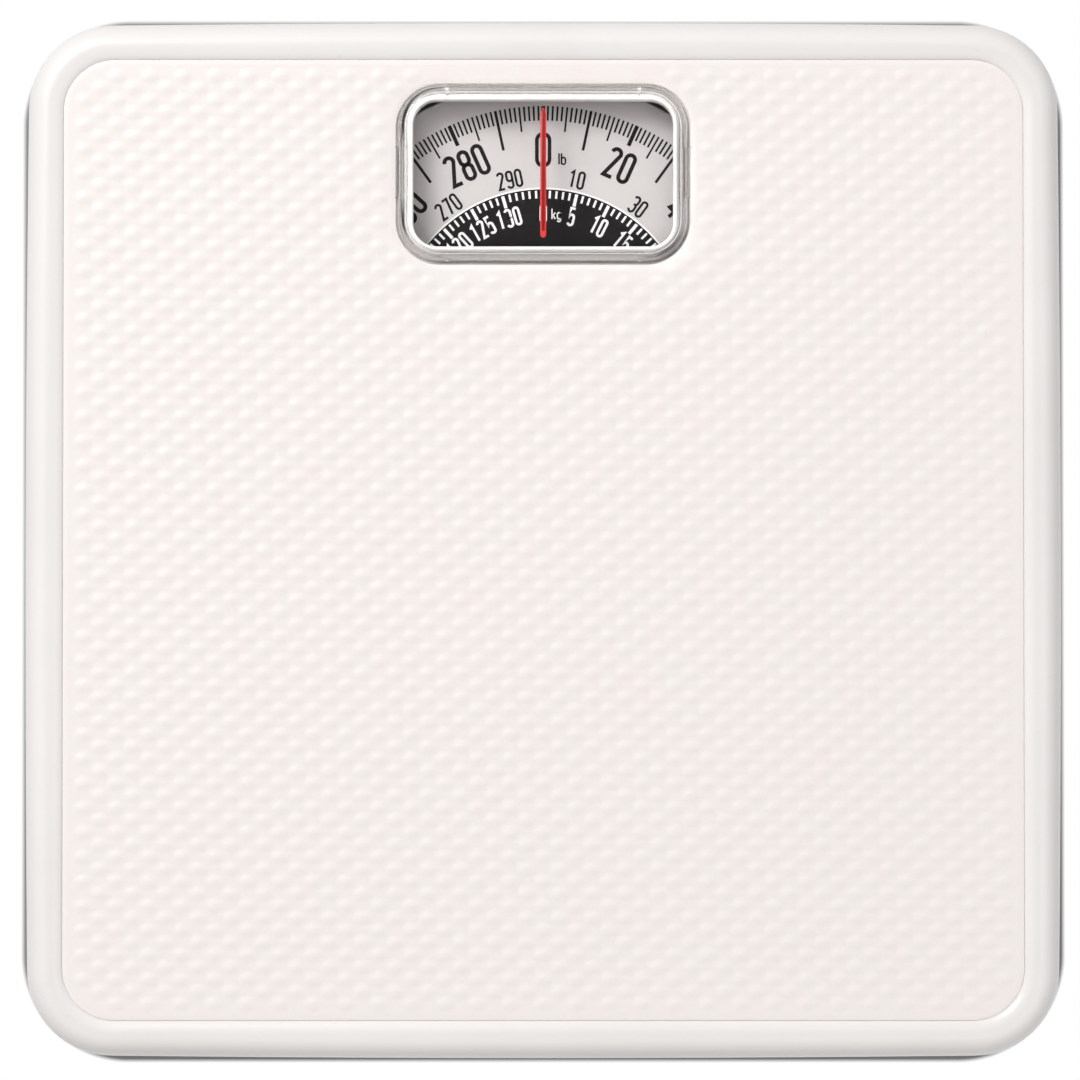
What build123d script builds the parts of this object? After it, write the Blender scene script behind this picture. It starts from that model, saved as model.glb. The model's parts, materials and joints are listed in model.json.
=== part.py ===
from build123d import *

import math
import os

# Mechanical bathroom scale, millimetres.
# Origin: centre of the footprint on the floor. +X right, +Y to the window end, +Z up.

# Platform cover: pressed sheet with an enamelled rim and a recess for the mat
platform_size = 260.0
platform_corner = 22.0
platform_sheet = 1.0
skirt_low_z = 14.0
rim_z = 46.0
rim_width = 10.0
rim_fillet = 7.0
skirt_draft = 1.5
recess_depth = 2.5
recess_corner = 13.0

# Window, its upturned collar, the lens cap and the pointer
window_length = 65.0
window_width = 36.6
window_corner = 6.0
window_inset = 38.7
collar_height = 4.5
lens_margin = 4.3
lens_corner = 11.0
lens_height = 7.0
lens_lean = 1.6
lens_wall = 1.2
mat_thickness = 1.6
mat_gap = 0.3
pointer_width = 1.5
pointer_thickness = 0.6
pointer_drop = 3.0
pointer_point = 1.6
pointer_rear_gap = 1.9
pointer_front_gap = 1.1
pointer_length = window_width - pointer_rear_gap - pointer_front_gap
rib_width = 0.8

# Base pan and feet
skirt_gap = 3.0
base_sheet = 1.0
base_floor_z = 5.0
base_wall_z = 20.0
foot_radius = 9.0
foot_inset = 14.0
foot_stud_radius = 2.5
foot_stud_height = 2.4
slot_clearance = 1.2
pan_edge_radius = 2.0

# How far a cutting solid runs past the face that it opens
cut_run = 1.0

# Levers
fulcrum_side_inset = 26.0
fulcrum_end_inset = 28.0
nose_x = 15.0
lever_thickness = 2.5
lever_height = 8.0
long_lever_z = 20.0
nose_height = 4.0
nose_reach = 14.0
lever_gap = 0.3
crossing_share = 0.5
nose_travel = 10.0
platform_travel = 1.0
pivot_radius = 2.0
pivot_clearance = 0.05
pivot_length = 13.0
lever_tail = 5.0

# Brackets of bent sheet
bracket_sheet = 1.5
bracket_inside = 8.0
bracket_length = 14.0
bracket_head = 4.5
fulcrum_flange = 7.0
load_bracket_width = 20.0
load_bracket_length = 14.0
load_notch_clearance = 0.8
load_bracket_overhang = 4.0
rivet_radius = 1.6
rivet_head_radius = 2.6
rivet_head_height = 0.8

# Calibration plate and main spring
plate_width = 44.0
plate_thickness = 1.5
plate_top_z = 31.0
plate_bottom_z = 16.5
plate_bar = 2.9
nose_window_width = 5.0
spring_coil_radius = 6.0
spring_wire_radius = 1.0
spring_turns = 4
spring_window_clearance = 0.8
yoke_low_z = 32.6
yoke_thickness = 2.0
yoke_width = 7.0

# Zero adjuster
adjuster_inset = 5.0
adjuster_to_plate = 16.0
adjuster_rod_radius = 2.0
wheel_radius = 7.3
wheel_height = 4.6
wheel_low_z = 7.6
wheel_knurls = 28
wheel_knurl_radius = 0.45
wheel_hub_radius = 4.0
wheel_hub_height = 10.0
adjuster_boss_radius = 3.5
spring_bracket_inside = 18.5
spring_bracket_depth = 7.0
spring_bracket_top_z = 27.5
spring_bracket_flange = 6.0

# Dial, its shaft, pinion and bridge
window_to_dial = 40.3
dial_radius = 64.6
dial_thickness = 0.6
dial_low_z = 36.4
shaft_radius = 1.5
shaft_low_z = 6.0
bearing_radius = 4.0
hub_radius = 5.0
hub_height = 1.6
bridge_half_span = 22.0
bridge_depth = 26.0
bridge_top_z = 34.4
bridge_sheet = 1.2
bridge_flange = 8.0
bush_wall = 1.2
bush_step = 0.6
guide_length = 12.0
guide_lip = 3.0
gear_module = 0.5
pinion_teeth = 10
pinion_shift = 0.4
pinion_low_z = 29.0
pinion_high_z = 32.3
rack_thickness = 1.6
rack_low_z = 30.2
rack_addendum = 0.3
rack_dedendum = 0.75
gear_backlash = 0.18
rack_bar_width = 4.5
rack_overrun = 3.0
rack_tail_width = 7.0
rack_tail_end = 3.5
pressure_angle = 20.0

# Bell crank, its pin and bracket
crank_x = 10.5
plate_to_crank = 12.8
crank_z = 16.4
crank_sheet = 1.5
crank_long_arm = 5.0 * math.pi
crank_short_arm = nose_travel
crank_swing = 60.0
crank_arm_width = 2.0
crank_tab_reach = 0.5
crank_tab_width = 3.6
crank_tip_radius = 1.5
crank_hub_radius = 3.2
crank_hub_length = 3.6
crank_pin_radius = 1.5
crank_bracket_inside = 4.2
crank_bracket_length = 9.0
crank_slot_clearance = 0.35

# Return spring of the rack and the two hold-down springs of the platform
return_coil_radius = 2.4
return_wire_radius = 0.3
return_turns = 18
post_to_dial = 61.0
post_radius = 2.0
post_foot_radius = 7.0
hold_down_inset = 12.0
hold_coil_radius = 3.6
hold_wire_radius = 0.5
hold_turns = 10
hold_tab = 10.0
hold_lug = 3.0

# Gap between pieces of different bodies that rest on each other
seat_gap = 0.3

# Values worked out from the sizes above
platform_top_z = rim_z - recess_depth
under_z = platform_top_z - platform_sheet
skirt_slope = math.tan(math.radians(skirt_draft))
recess_size = platform_size - 2 * rim_width
base_size = platform_size - 2 * (platform_sheet + skirt_gap)
base_corner = platform_corner - skirt_gap
base_floor_low_z = base_floor_z - base_sheet
fulcrum_x = base_size / 2 - fulcrum_side_inset
fulcrum_y = base_size / 2 - fulcrum_end_inset
hold_down_x = base_size / 2 - hold_down_inset
adjuster_y = base_size / 2 - adjuster_inset
plate_y = adjuster_y - adjuster_to_plate
crank_y = plate_y - plate_to_crank
window_y = platform_size / 2 - window_inset
lens_length = window_length + 2 * lens_margin
lens_width = window_width + 2 * lens_margin
dial_y = window_y - window_to_dial
post_y = dial_y - post_to_dial
rack_travel = math.pi * gear_module * pinion_teeth
spring_low_z = plate_bottom_z + plate_bar + seat_gap
lever_top_z = long_lever_z + lever_height / 2
short_lever_z = lever_top_z + lever_gap + lever_height / 2

made = {}


def keep(name, shape):
    """Write one named piece and remember it."""
    solids = shape.solids()
    body = solids[0] if len(solids) == 1 else Compound(children=solids)
    made[name] = body
    export_step(body, "parts/" + name + ".step")


def block(x, y, z, low_x, low_y, low_z):
    """A box given by its size and its lowest corner."""
    return Pos(low_x, low_y, low_z) * Box(x, y, z, align=(Align.MIN, Align.MIN, Align.MIN))


def rod(radius, low_z, high_z, x=0.0, y=0.0):
    """An upright round bar between two heights."""
    bottom = (Align.CENTER, Align.CENTER, Align.MIN)
    return Pos(x, y, low_z) * Cylinder(radius, high_z - low_z, align=bottom)


def rod_x(radius, low_x, high_x, y, z):
    """A round bar along X between two places."""
    bottom = (Align.CENTER, Align.CENTER, Align.MIN)
    bar = Cylinder(radius, high_x - low_x, align=bottom)
    return Pos(low_x, y, z) * Rot(0, 90, 0) * bar


def slab(length, width, corner, low_z, high_z, y=0.0):
    """A flat slab with a rounded rectangular outline."""
    outline = Pos(0, y, low_z) * RectangleRounded(length, width, corner)
    return extrude(outline, amount=high_z - low_z)


def frustum(length, width, corner, low_z, high_z, slope, y=0.0):
    """A slab whose walls lean in by the slope as they rise."""
    lean = (high_z - low_z) * slope
    low = Pos(0, y, low_z) * RectangleRounded(length, width, corner)
    high = Pos(0, y, high_z) * RectangleRounded(length - 2 * lean, width - 2 * lean, corner - lean)
    return loft([low, high])


def coil(radius, wire, turns, low, high):
    """A spring along Z: one wire swept along a helix with a ring lying flat at each end."""
    rise = (high - low) - 2 * wire
    path = Helix(pitch=rise / turns, height=rise, radius=radius)
    start = path @ 0
    section = Plane(origin=start, z_dir=path % 0) * Circle(wire)
    body = sweep(section, path=path)
    gap = rise / turns * math.cos(math.atan(rise / turns / (2 * math.pi * radius))) - 2 * wire
    print("least gap between curls", round(gap, 2), "mm")
    return Pos(0, 0, low + wire) * body


def rivet(x, y, high_z):
    """A rivet through the pan and a flange, with a head on each face."""
    shank = rod(rivet_radius, base_floor_low_z, high_z, x, y)
    head = rod(rivet_head_radius, high_z, high_z + rivet_head_height, x, y)
    return shank + head + rod(rivet_head_radius, base_floor_low_z - rivet_head_height, base_floor_low_z, x, y)


def platform_cover():
    """Pressed cover with a rounded rim, a recess for the mat and the collar of the window."""
    outer = frustum(platform_size, platform_size, platform_corner, skirt_low_z, rim_z, skirt_slope)
    outer = fillet(outer.faces().sort_by(Axis.Z)[-1].edges(), radius=rim_fillet)
    inside = platform_size - 2 * platform_sheet
    inside_corner = platform_corner - platform_sheet
    ceiling = rim_z - platform_sheet
    hollow = frustum(inside, inside, inside_corner, skirt_low_z, ceiling, skirt_slope)
    hollow = fillet(hollow.faces().sort_by(Axis.Z)[-1].edges(), radius=rim_fillet - platform_sheet)
    pan_size = recess_size + 2 * platform_sheet
    pan = slab(pan_size, pan_size, recess_corner + platform_sheet, under_z, rim_z)
    shell = outer - slab(recess_size, recess_size, recess_corner, platform_top_z, rim_z + 1)
    shell = shell - (hollow - pan)
    collar_length = window_length + 2 * platform_sheet
    collar_width = window_width + 2 * platform_sheet
    collar_corner = window_corner + platform_sheet
    collar_top = under_z + collar_height
    shell = shell + slab(collar_length, collar_width, collar_corner, under_z, collar_top, window_y)
    shell = shell - slab(window_length, window_width, window_corner, under_z - 1, collar_top + 1, window_y)
    for place in hold_down_places():
        shell = shell + hold_down_tab(place)
    return shell


def hold_down_places():
    """The two sides where a spring holds the platform down."""
    return (-hold_down_x, hold_down_x)


def hold_down_tab(x):
    """A lug under the cover that a hold-down spring hooks on."""
    return block(4, hold_tab, hold_lug, x - 2, -hold_tab / 2, under_z - hold_lug)


def tread_mat():
    """Mat that fills the recess, cut out round the lens."""
    size = recess_size - 2 * mat_gap
    high = platform_top_z + mat_thickness
    mat = slab(size, size, recess_corner - mat_gap, platform_top_z, high)
    length = lens_length + 2 * mat_gap
    width = lens_width + 2 * mat_gap
    return mat - slab(length, width, lens_corner + mat_gap, platform_top_z - 1, high + 1, window_y)


def lens():
    """Clear cap over the window, with the stake that carries the pointer."""
    high = platform_top_z + lens_height
    lean = lens_lean / lens_height
    cap = frustum(lens_length, lens_width, lens_corner, platform_top_z, high, lean, window_y)
    cap = fillet(cap.faces().sort_by(Axis.Z)[-1].edges(), radius=lens_wall * 0.8)
    inner_length = lens_length - 2 * lens_wall
    inner_width = lens_width - 2 * lens_wall
    inner_corner = lens_corner - lens_wall
    inner_high = high - lens_wall
    inside = frustum(inner_length, inner_width, inner_corner, platform_top_z, inner_high, lean, window_y)
    cap = cap - inside
    rib_length = pointer_length - pointer_width
    rib = block(rib_width, rib_length, inner_high - pointer_high_z(),
                -rib_width / 2, pointer_rear_y() - pointer_length + pointer_width / 2, pointer_high_z())
    return cap + rib


def pointer_rear_y():
    """Rear tip of the pointer, just inside the window."""
    return window_y + window_width / 2 - pointer_rear_gap


def pointer_high_z():
    """Top face of the pointer, on the rib of the lens."""
    return platform_top_z + lens_height - lens_wall - pointer_drop


def pointer():
    """Flat strip under the lens with a pointed rear end and a rounded front end."""
    half = pointer_width / 2
    rear = pointer_rear_y()
    front = rear - pointer_length
    low = pointer_high_z() - pointer_thickness
    outline = Polygon((-half, front + half), (half, front + half), (half, rear - pointer_point),
                      (half / 3, rear), (-half / 3, rear), (-half, rear - pointer_point), align=None)
    strip = Pos(0, 0, low) * extrude(outline, amount=pointer_thickness)
    return strip + rod(half, low, low + pointer_thickness, 0, front + half)


def base_pan():
    """Pressed tray with a slot in its rear wall for the zero wheel and holes for the feet."""
    pan = slab(base_size, base_size, base_corner, base_floor_low_z, base_wall_z)
    pan = fillet(pan.faces().sort_by(Axis.Z)[0].edges(), radius=pan_edge_radius)
    inside = base_size - 2 * base_sheet
    pan = pan - slab(inside, inside, base_corner - base_sheet, base_floor_z, base_wall_z + 1)
    slot_half = wheel_radius + slot_clearance
    slot_high = wheel_low_z + wheel_height + slot_clearance
    slot_low = wheel_low_z - slot_clearance
    slot_depth = base_sheet + 2 * cut_run
    slot_y = base_size / 2 - base_sheet - cut_run
    pan = pan - block(2 * slot_half, slot_depth, slot_high - slot_low, -slot_half, slot_y, slot_low)
    pan = pan + rod(adjuster_boss_radius, base_floor_low_z, wheel_low_z - 0.1, 0, adjuster_y)
    for x, y in foot_places():
        pan = pan - rod(foot_stud_radius, base_floor_low_z - cut_run, base_floor_z + cut_run, x, y)
    for x in hold_down_places():
        pan = pan + block(4, hold_tab, hold_lug, x - 2, -hold_tab / 2, base_floor_z)
    return pan - rivet_holes(base_floor_low_z - 1, base_floor_z + 1)


def foot_places():
    """Centres of the four feet."""
    reach = base_size / 2 - foot_inset
    return [(x, y) for x in (-reach, reach) for y in (-reach, reach)]


def foot(x, y):
    """Rubber foot, a low dome with a flat tread, its stud and its barb through the pan."""
    body = rod(foot_radius, 0, base_floor_low_z, x, y)
    body = fillet(body.edges().sort_by(Axis.Z)[0], radius=1.5)
    body = body + rod(foot_stud_radius, 1, base_floor_z + foot_stud_height, x, y)
    barb = rod(foot_stud_radius + 1, base_floor_z, base_floor_z + foot_stud_height, x, y)
    return body + barb


def lever_line(side, long):
    """Fulcrum, direction and length of a lever on one side."""
    if long:
        start = (side * fulcrum_x, -fulcrum_y)
        end = (side * nose_x, plate_y)
    else:
        start = (side * fulcrum_x, fulcrum_y)
        first, way, length = lever_line(side, True)
        end = (first[0] + way[0] * length * crossing_share, first[1] + way[1] * length * crossing_share)
    reach = math.hypot(end[0] - start[0], end[1] - start[1])
    way = ((end[0] - start[0]) / reach, (end[1] - start[1]) / reach)
    return start, way, reach


def load_reach(side, long):
    """Distance from the fulcrum to the platform's load point, so that the platform stays level."""
    first, way, length = lever_line(side, long)
    drop = nose_travel if long else nose_travel * crossing_share
    return length * platform_travel / drop


def along(side, long, z):
    """Frame of a lever: X along the lever from its fulcrum, Z up."""
    start, way, length = lever_line(side, long)
    return Pos(start[0], start[1], z) * Rot(0, 0, math.degrees(math.atan2(way[1], way[0])))


def lever(side, long):
    """Flat bar on edge from its fulcrum to its nose, bored for the fulcrum pin."""
    z = long_lever_z if long else short_lever_z
    start, way, length = lever_line(side, long)
    half = lever_height / 2
    nose = 1.5 if long else 3.0
    bar = block(length + lever_tail + nose, lever_thickness, lever_height, -lever_tail, -lever_thickness / 2, -half)
    if long:
        cut = half - nose_height + half
        bar = bar - block(nose_reach + nose, 2 * lever_thickness, cut,
                          length - nose_reach, -lever_thickness, -half - 0.0)
    bore = Rot(90, 0, 0) * Cylinder(pivot_radius, 4 * lever_thickness)
    return along(side, long, z) * (bar - bore)


def pivot_pin(side, long):
    """Pin pressed into a lever, which turns in its fulcrum bracket."""
    z = long_lever_z if long else short_lever_z
    return along(side, long, z) * Rot(90, 0, 0) * Cylinder(pivot_radius, pivot_length)


def fulcrum_bracket(side, long):
    """Channel riveted to the base, its two ears bored for the pivot pin."""
    z = long_lever_z if long else short_lever_z
    rise = z + bracket_head - base_floor_z
    outside = bracket_inside + 2 * bracket_sheet
    body = block(bracket_length, outside, rise, -bracket_length / 2, -outside / 2, base_floor_z - z)
    gap = block(bracket_length + 2, bracket_inside, rise, -bracket_length / 2 - 1,
                -bracket_inside / 2, base_floor_z - z + bracket_sheet)
    bore = Rot(90, 0, 0) * Cylinder(pivot_radius + pivot_clearance, 2 * outside)
    flange = block(bracket_length, outside + 2 * fulcrum_flange, bracket_sheet,
                   -bracket_length / 2, -outside / 2 - fulcrum_flange, base_floor_z - z)
    bracket = along(side, long, z) * (body - gap - bore + flange)
    return bracket - rivet_holes(base_floor_z - 1, base_floor_z + bracket_sheet + 1)


def rivet_places():
    """Centre and flange height of each rivet in the pan."""
    places = []
    across = bracket_inside / 2 + bracket_sheet + fulcrum_flange / 2
    for side in (-1, 1):
        for long in (True, False):
            start, way, length = lever_line(side, long)
            for end in (-across, across):
                places.append((start[0] - end * way[1], start[1] + end * way[0], base_floor_z + bracket_sheet))
        spring_x = spring_bracket_inside / 2 + bracket_sheet + spring_bracket_flange / 2
        places.append((side * spring_x, adjuster_y, base_floor_z + bracket_sheet))
        bridge_x = bridge_half_span + bridge_sheet + bridge_flange / 2
        for end in (-1, 1):
            places.append((side * bridge_x, dial_y + end * bridge_depth / 4, base_floor_z + bridge_sheet))
    return places


def rivet_holes(low_z, high_z):
    """Bars that bore the rivet holes between two heights."""
    return [rod(rivet_radius, low_z, high_z, x, y) for x, y, top in rivet_places()]


def load_bracket(side, long):
    """Bent bracket under the cover whose notch straddles a lever and bears on its top edge."""
    z = long_lever_z if long else short_lever_z
    reach = load_reach(side, long)
    top = z + lever_height / 2 + lever_gap
    low = top - load_bracket_overhang - lever_gap
    web = block(bracket_sheet, load_bracket_width, under_z - low, reach - bracket_sheet / 2,
                -load_bracket_width / 2, low)
    flange = block(load_bracket_length, load_bracket_width, bracket_sheet,
                   reach - load_bracket_length / 2, -load_bracket_width / 2, under_z - bracket_sheet)
    wide = lever_thickness + 2 * load_notch_clearance
    notch = block(4 * bracket_sheet, wide, top - low, reach - 2 * bracket_sheet, -wide / 2, low)
    ribs = []
    for way in (-1, 1):
        rib_y = way * (load_bracket_width / 2 - bracket_sheet / 2)
        profile = Polygon((0, 0), (5, 0), (0, -6), align=None)
        rib = extrude(Plane.XZ * profile, amount=bracket_sheet / 2, both=True)
        ribs.append(Pos(reach, rib_y, under_z - bracket_sheet) * rib)
    return along(side, long, 0) * (web + flange - notch + ribs)


def calibration_plate():
    """Upright plate that the lever noses press down and the main spring holds up."""
    half = plate_thickness / 2
    plate = block(plate_width, plate_thickness, plate_top_z - plate_bottom_z,
                  -plate_width / 2, plate_y - half, plate_bottom_z)
    nose_low = long_lever_z + lever_height / 2 - nose_height - lever_gap
    for side in (-1, 1):
        plate = plate - block(nose_window_width, 4, plate_top_z - 3 - nose_low,
                              side * nose_x - nose_window_width / 2, plate_y - 2, nose_low)
    clear = spring_coil_radius + spring_wire_radius + spring_window_clearance
    plate = plate - block(2 * clear, 4, plate_top_z - plate_bottom_z - plate_bar + 1,
                          -clear, plate_y - 2, plate_bottom_z + plate_bar)
    seat = rod(spring_coil_radius + spring_wire_radius, plate_bottom_z, plate_bottom_z + plate_bar, 0, plate_y)
    tip_y = crank_y + crank_short_arm * math.cos(math.radians(crank_swing / 2))
    tip_z = crank_z + crank_short_arm * math.sin(math.radians(crank_swing / 2))
    tab_z = tip_z + crank_tip_radius + lever_gap
    tab_front = tip_y - crank_tab_reach
    tab_left = crank_x - crank_tab_width / 2
    tab = block(crank_tab_width, plate_y - tab_front, bracket_sheet, tab_left, tab_front, tab_z)
    return plate + seat + tab


def main_spring():
    """Tension spring between the calibration plate and the adjuster's arm."""
    return Pos(0, plate_y, 0) * coil(spring_coil_radius, spring_wire_radius, spring_turns,
                                     spring_low_z, yoke_low_z - seat_gap)


def adjuster():
    """Threaded rod of the zero adjuster with the arm that the main spring hangs from."""
    high = yoke_low_z + yoke_thickness
    body = rod(adjuster_rod_radius, wheel_low_z + 1, high, 0, adjuster_y)
    arm = block(yoke_width, adjuster_y - plate_y, yoke_thickness, -yoke_width / 2, plate_y, yoke_low_z)
    pads = rod(yoke_width / 2, yoke_low_z, high, 0, adjuster_y)
    cap = rod(spring_coil_radius + spring_wire_radius, yoke_low_z, high, 0, plate_y)
    return body + arm + pads + cap


def zero_wheel():
    """Knurled thumb wheel with a long hub round the threaded rod."""
    high = wheel_low_z + wheel_height
    wheel = rod(wheel_radius, wheel_low_z, high, 0, adjuster_y)
    step = 2 * math.pi / wheel_knurls
    for index in range(wheel_knurls):
        x = wheel_radius * math.cos(index * step)
        y = adjuster_y + wheel_radius * math.sin(index * step)
        wheel = wheel - rod(wheel_knurl_radius, wheel_low_z - 1, high + 1, x, y)
    wheel = wheel + rod(wheel_hub_radius, wheel_low_z, wheel_low_z + wheel_hub_height, 0, adjuster_y)
    bore = adjuster_rod_radius + pivot_clearance
    return wheel - rod(bore, wheel_low_z - 1, wheel_low_z + wheel_hub_height + 1, 0, adjuster_y)


def spring_bracket():
    """Channel over the zero wheel that guides the threaded rod."""
    half = spring_bracket_inside / 2
    outer = half + bracket_sheet
    front = adjuster_y - spring_bracket_depth / 2
    rise = spring_bracket_top_z - base_floor_z
    body = block(2 * outer, spring_bracket_depth, rise, -outer, front, base_floor_z)
    body = body - block(2 * half, spring_bracket_depth + 2, rise - bracket_sheet, -half, front - 1, base_floor_z)
    flange = outer + spring_bracket_flange
    feet = block(2 * flange, spring_bracket_depth, bracket_sheet, -flange, front, base_floor_z)
    feet = feet - block(2 * half, spring_bracket_depth + 2, bracket_sheet + 2, -half, front - 1, base_floor_z - 1)
    bore = rod(adjuster_rod_radius + pivot_clearance, base_floor_z, spring_bracket_top_z + 1, 0, adjuster_y)
    holes = rivet_holes(base_floor_z - 1, base_floor_z + bracket_sheet + 1)
    return body + feet - bore - holes


def dial():
    """Round printed disc."""
    disc = rod(dial_radius, dial_low_z, dial_low_z + dial_thickness, 0, dial_y)
    return disc - rod(shaft_radius, dial_low_z - 1, dial_low_z + 2, 0, dial_y)


def dial_collar():
    """Collar under the dial, pressed on the shaft, and the washer that clamps the disc from above."""
    low = dial_low_z - hub_height
    high = dial_low_z + dial_thickness
    collar = rod(hub_radius, low, dial_low_z, 0, dial_y) - rod(shaft_radius, low - 1, high, 0, dial_y)
    return collar


def dial_washer():
    """Push-on washer that clamps the disc to its collar."""
    low = dial_low_z + dial_thickness
    return rod(hub_radius, low, low + 0.8, 0, dial_y) - rod(shaft_radius, low - 1, low + 2, 0, dial_y)


def dial_shaft():
    """Upright shaft from the base bearing to the dial, with a pointed lower pivot."""
    tip = 1.2
    high = dial_low_z + dial_thickness + 1.4
    shaft = rod(shaft_radius, shaft_low_z + tip, high, 0, dial_y)
    point = Cone(0.3, shaft_radius, tip, align=(Align.CENTER, Align.CENTER, Align.MIN))
    return shaft + Pos(0, dial_y, shaft_low_z) * point


def base_bearing():
    """Cup bearing on the base for the lower end of the dial shaft."""
    high = base_floor_z + 4
    cup = rod(bearing_radius, base_floor_z, high, 0, dial_y)
    return cup - rod(shaft_radius + pivot_clearance, shaft_low_z - 0.3, high + 1, 0, dial_y)


def bridge_bearing():
    """Flanged bush in the bridge for the upper end of the dial shaft."""
    low = bridge_top_z - bridge_sheet
    bush = rod(shaft_radius + bush_wall, low - bush_step, bridge_top_z, 0, dial_y)
    return bush - rod(shaft_radius + pivot_clearance, low - 2, bridge_top_z + 1, 0, dial_y)


def dial_bridge():
    """Bridge over the rack with legs on the base and the upper bearing of the dial shaft."""
    outer = bridge_half_span + bridge_sheet
    rise = bridge_top_z - base_floor_z
    front = dial_y - bridge_depth / 2
    body = block(2 * outer, bridge_depth, rise, -outer, front, base_floor_z)
    body = body - block(2 * bridge_half_span, bridge_depth + 2, rise - bridge_sheet,
                        -bridge_half_span, front - 1, base_floor_z)
    flange = outer + bridge_flange
    feet = block(2 * flange, bridge_depth, bridge_sheet, -flange, front, base_floor_z)
    feet = feet - block(2 * bridge_half_span, bridge_depth + 2, 4, -bridge_half_span, front - 1, base_floor_z - 1)
    bore = rod(shaft_radius + bush_wall, bridge_top_z - 2 * bridge_sheet, bridge_top_z + 1, 0, dial_y)
    guide_x = rack_back() + seat_gap
    guide_low = rack_low_z - seat_gap - bridge_sheet
    guide = block(bridge_sheet, guide_length, bridge_top_z - guide_low, guide_x, dial_y - guide_length / 2, guide_low)
    lip = block(guide_lip, guide_length, bridge_sheet, guide_x - guide_lip, dial_y - guide_length / 2, guide_low)
    holes = rivet_holes(base_floor_z - 1, base_floor_z + bridge_sheet + 1)
    return body + feet + guide + lip - bore - holes


def involute(base, angle):
    """Point of an involute that leaves its base circle on the X axis."""
    x = base * (math.cos(angle) + angle * math.sin(angle))
    y = base * (math.sin(angle) - angle * math.cos(angle))
    return x, y


def pinion():
    """Ten-tooth pinion on the dial shaft."""
    pitch = gear_module * pinion_teeth / 2
    pressure = math.radians(pressure_angle)
    base = pitch * math.cos(pressure)
    tip = pitch + gear_module * (1 + pinion_shift) - 0.1
    root = pitch - gear_module * (1.25 - pinion_shift)
    tooth = gear_module * (math.pi / 2 + 2 * pinion_shift * math.tan(pressure)) - gear_backlash / 2
    half_base = tooth / (2 * pitch) + math.tan(pressure) - pressure
    last = math.sqrt((tip / base) ** 2 - 1)
    flank = []
    for index in range(6):
        x, y = involute(base, last * index / 5)
        turn = -half_base
        flank.append((x * math.cos(turn) - y * math.sin(turn), x * math.sin(turn) + y * math.cos(turn)))
    outline = [(root * 0.9 * math.cos(half_base), -root * 0.9 * math.sin(half_base))]
    outline = outline + flank + [(x, -y) for x, y in reversed(flank)]
    outline = outline + [(root * 0.9 * math.cos(half_base), root * 0.9 * math.sin(half_base))]
    tooth_face = Polygon(*outline, align=None)
    face = Circle(root)
    for index in range(pinion_teeth):
        face = face + Rot(0, 0, 360 / pinion_teeth * index) * tooth_face
    face = face - Circle(shaft_radius)
    solid = extrude(face, amount=pinion_high_z - pinion_low_z)
    return Pos(0, dial_y, pinion_low_z) * solid


def rack_front():
    """Front end of the rack at rest, which leaves it in mesh at full load."""
    return dial_y - rack_travel - rack_overrun


def rack_line():
    """Place along X of the rack's pitch line."""
    return gear_module * (pinion_teeth / 2 + pinion_shift)


def rack_back():
    """Place along X of the rack's plain long edge."""
    return rack_line() + rack_dedendum + rack_bar_width


def rack():
    """Flat toothed rack with a cranked tail, slotted for the tip of the bell crank."""
    pitch = math.pi * gear_module
    root_x = rack_line() + rack_dedendum
    tip_y = crank_y - crank_long_arm * math.sin(math.radians(crank_swing / 2))
    rear = tip_y + crank_tip_radius + rack_tail_end
    bend = dial_y + guide_length / 2 + rack_travel / 2
    tail_x = crank_x + rack_tail_width / 2
    body = block(rack_bar_width, bend - rack_front(), rack_thickness, root_x, rack_front(), rack_low_z)
    body = body + block(tail_x - root_x, rack_bar_width, rack_thickness, root_x, bend, rack_low_z)
    body = body + block(rack_tail_width, rear - bend, rack_thickness, tail_x - rack_tail_width, bend, rack_low_z)
    slope = math.tan(math.radians(pressure_angle))
    half = pitch / 4 - gear_backlash / 4
    wide = half + rack_dedendum * slope
    thin = half - rack_addendum * slope
    tip_x = rack_line() - rack_addendum
    outline = Polygon((root_x, wide), (tip_x, thin), (tip_x, -thin), (root_x, -wide), align=None)
    tooth = extrude(outline, amount=rack_thickness)
    first = math.ceil((rack_front() - dial_y) / pitch)
    last = math.floor(rack_overrun / pitch)
    for index in range(first, last + 1):
        body = body + Pos(0, dial_y + (index + 0.5) * pitch, rack_low_z) * tooth
    slot_x = crank_sheet + 2 * crank_slot_clearance
    slot_y = 2 * (crank_tip_radius + crank_slot_clearance)
    slot = block(slot_x, slot_y, 4, crank_x - slot_x / 2, tip_y - slot_y / 2, rack_low_z - 1)
    return body - slot


def crank():
    """Bell crank: short arm under the calibration plate's tab, long arm in the rack's slot."""
    swing = math.radians(crank_swing / 2)
    half = crank_sheet / 2
    tip_y = crank_y - crank_long_arm * math.sin(swing)
    tip_z = crank_z + crank_long_arm * math.cos(swing)
    toe_y = crank_y + crank_short_arm * math.cos(swing)
    toe_z = crank_z + crank_short_arm * math.sin(swing)
    body = rod_x(crank_hub_radius, crank_x - crank_hub_length / 2, crank_x + crank_hub_length / 2, crank_y, crank_z)
    low_x = crank_x - half
    for end_y, end_z, reach in ((tip_y, tip_z, crank_long_arm), (toe_y, toe_z, crank_short_arm)):
        angle = math.degrees(math.atan2(end_z - crank_z, end_y - crank_y))
        arm = block(crank_sheet, reach, crank_arm_width, -half, 0, -crank_arm_width / 2)
        body = body + Pos(crank_x, crank_y, crank_z) * Rot(angle, 0, 0) * arm
        body = body + rod_x(crank_tip_radius, low_x, low_x + crank_sheet, end_y, end_z)
    bore = crank_pin_radius + pivot_clearance
    return body - rod_x(bore, crank_x - crank_hub_length, crank_x + crank_hub_length, crank_y, crank_z)


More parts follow.
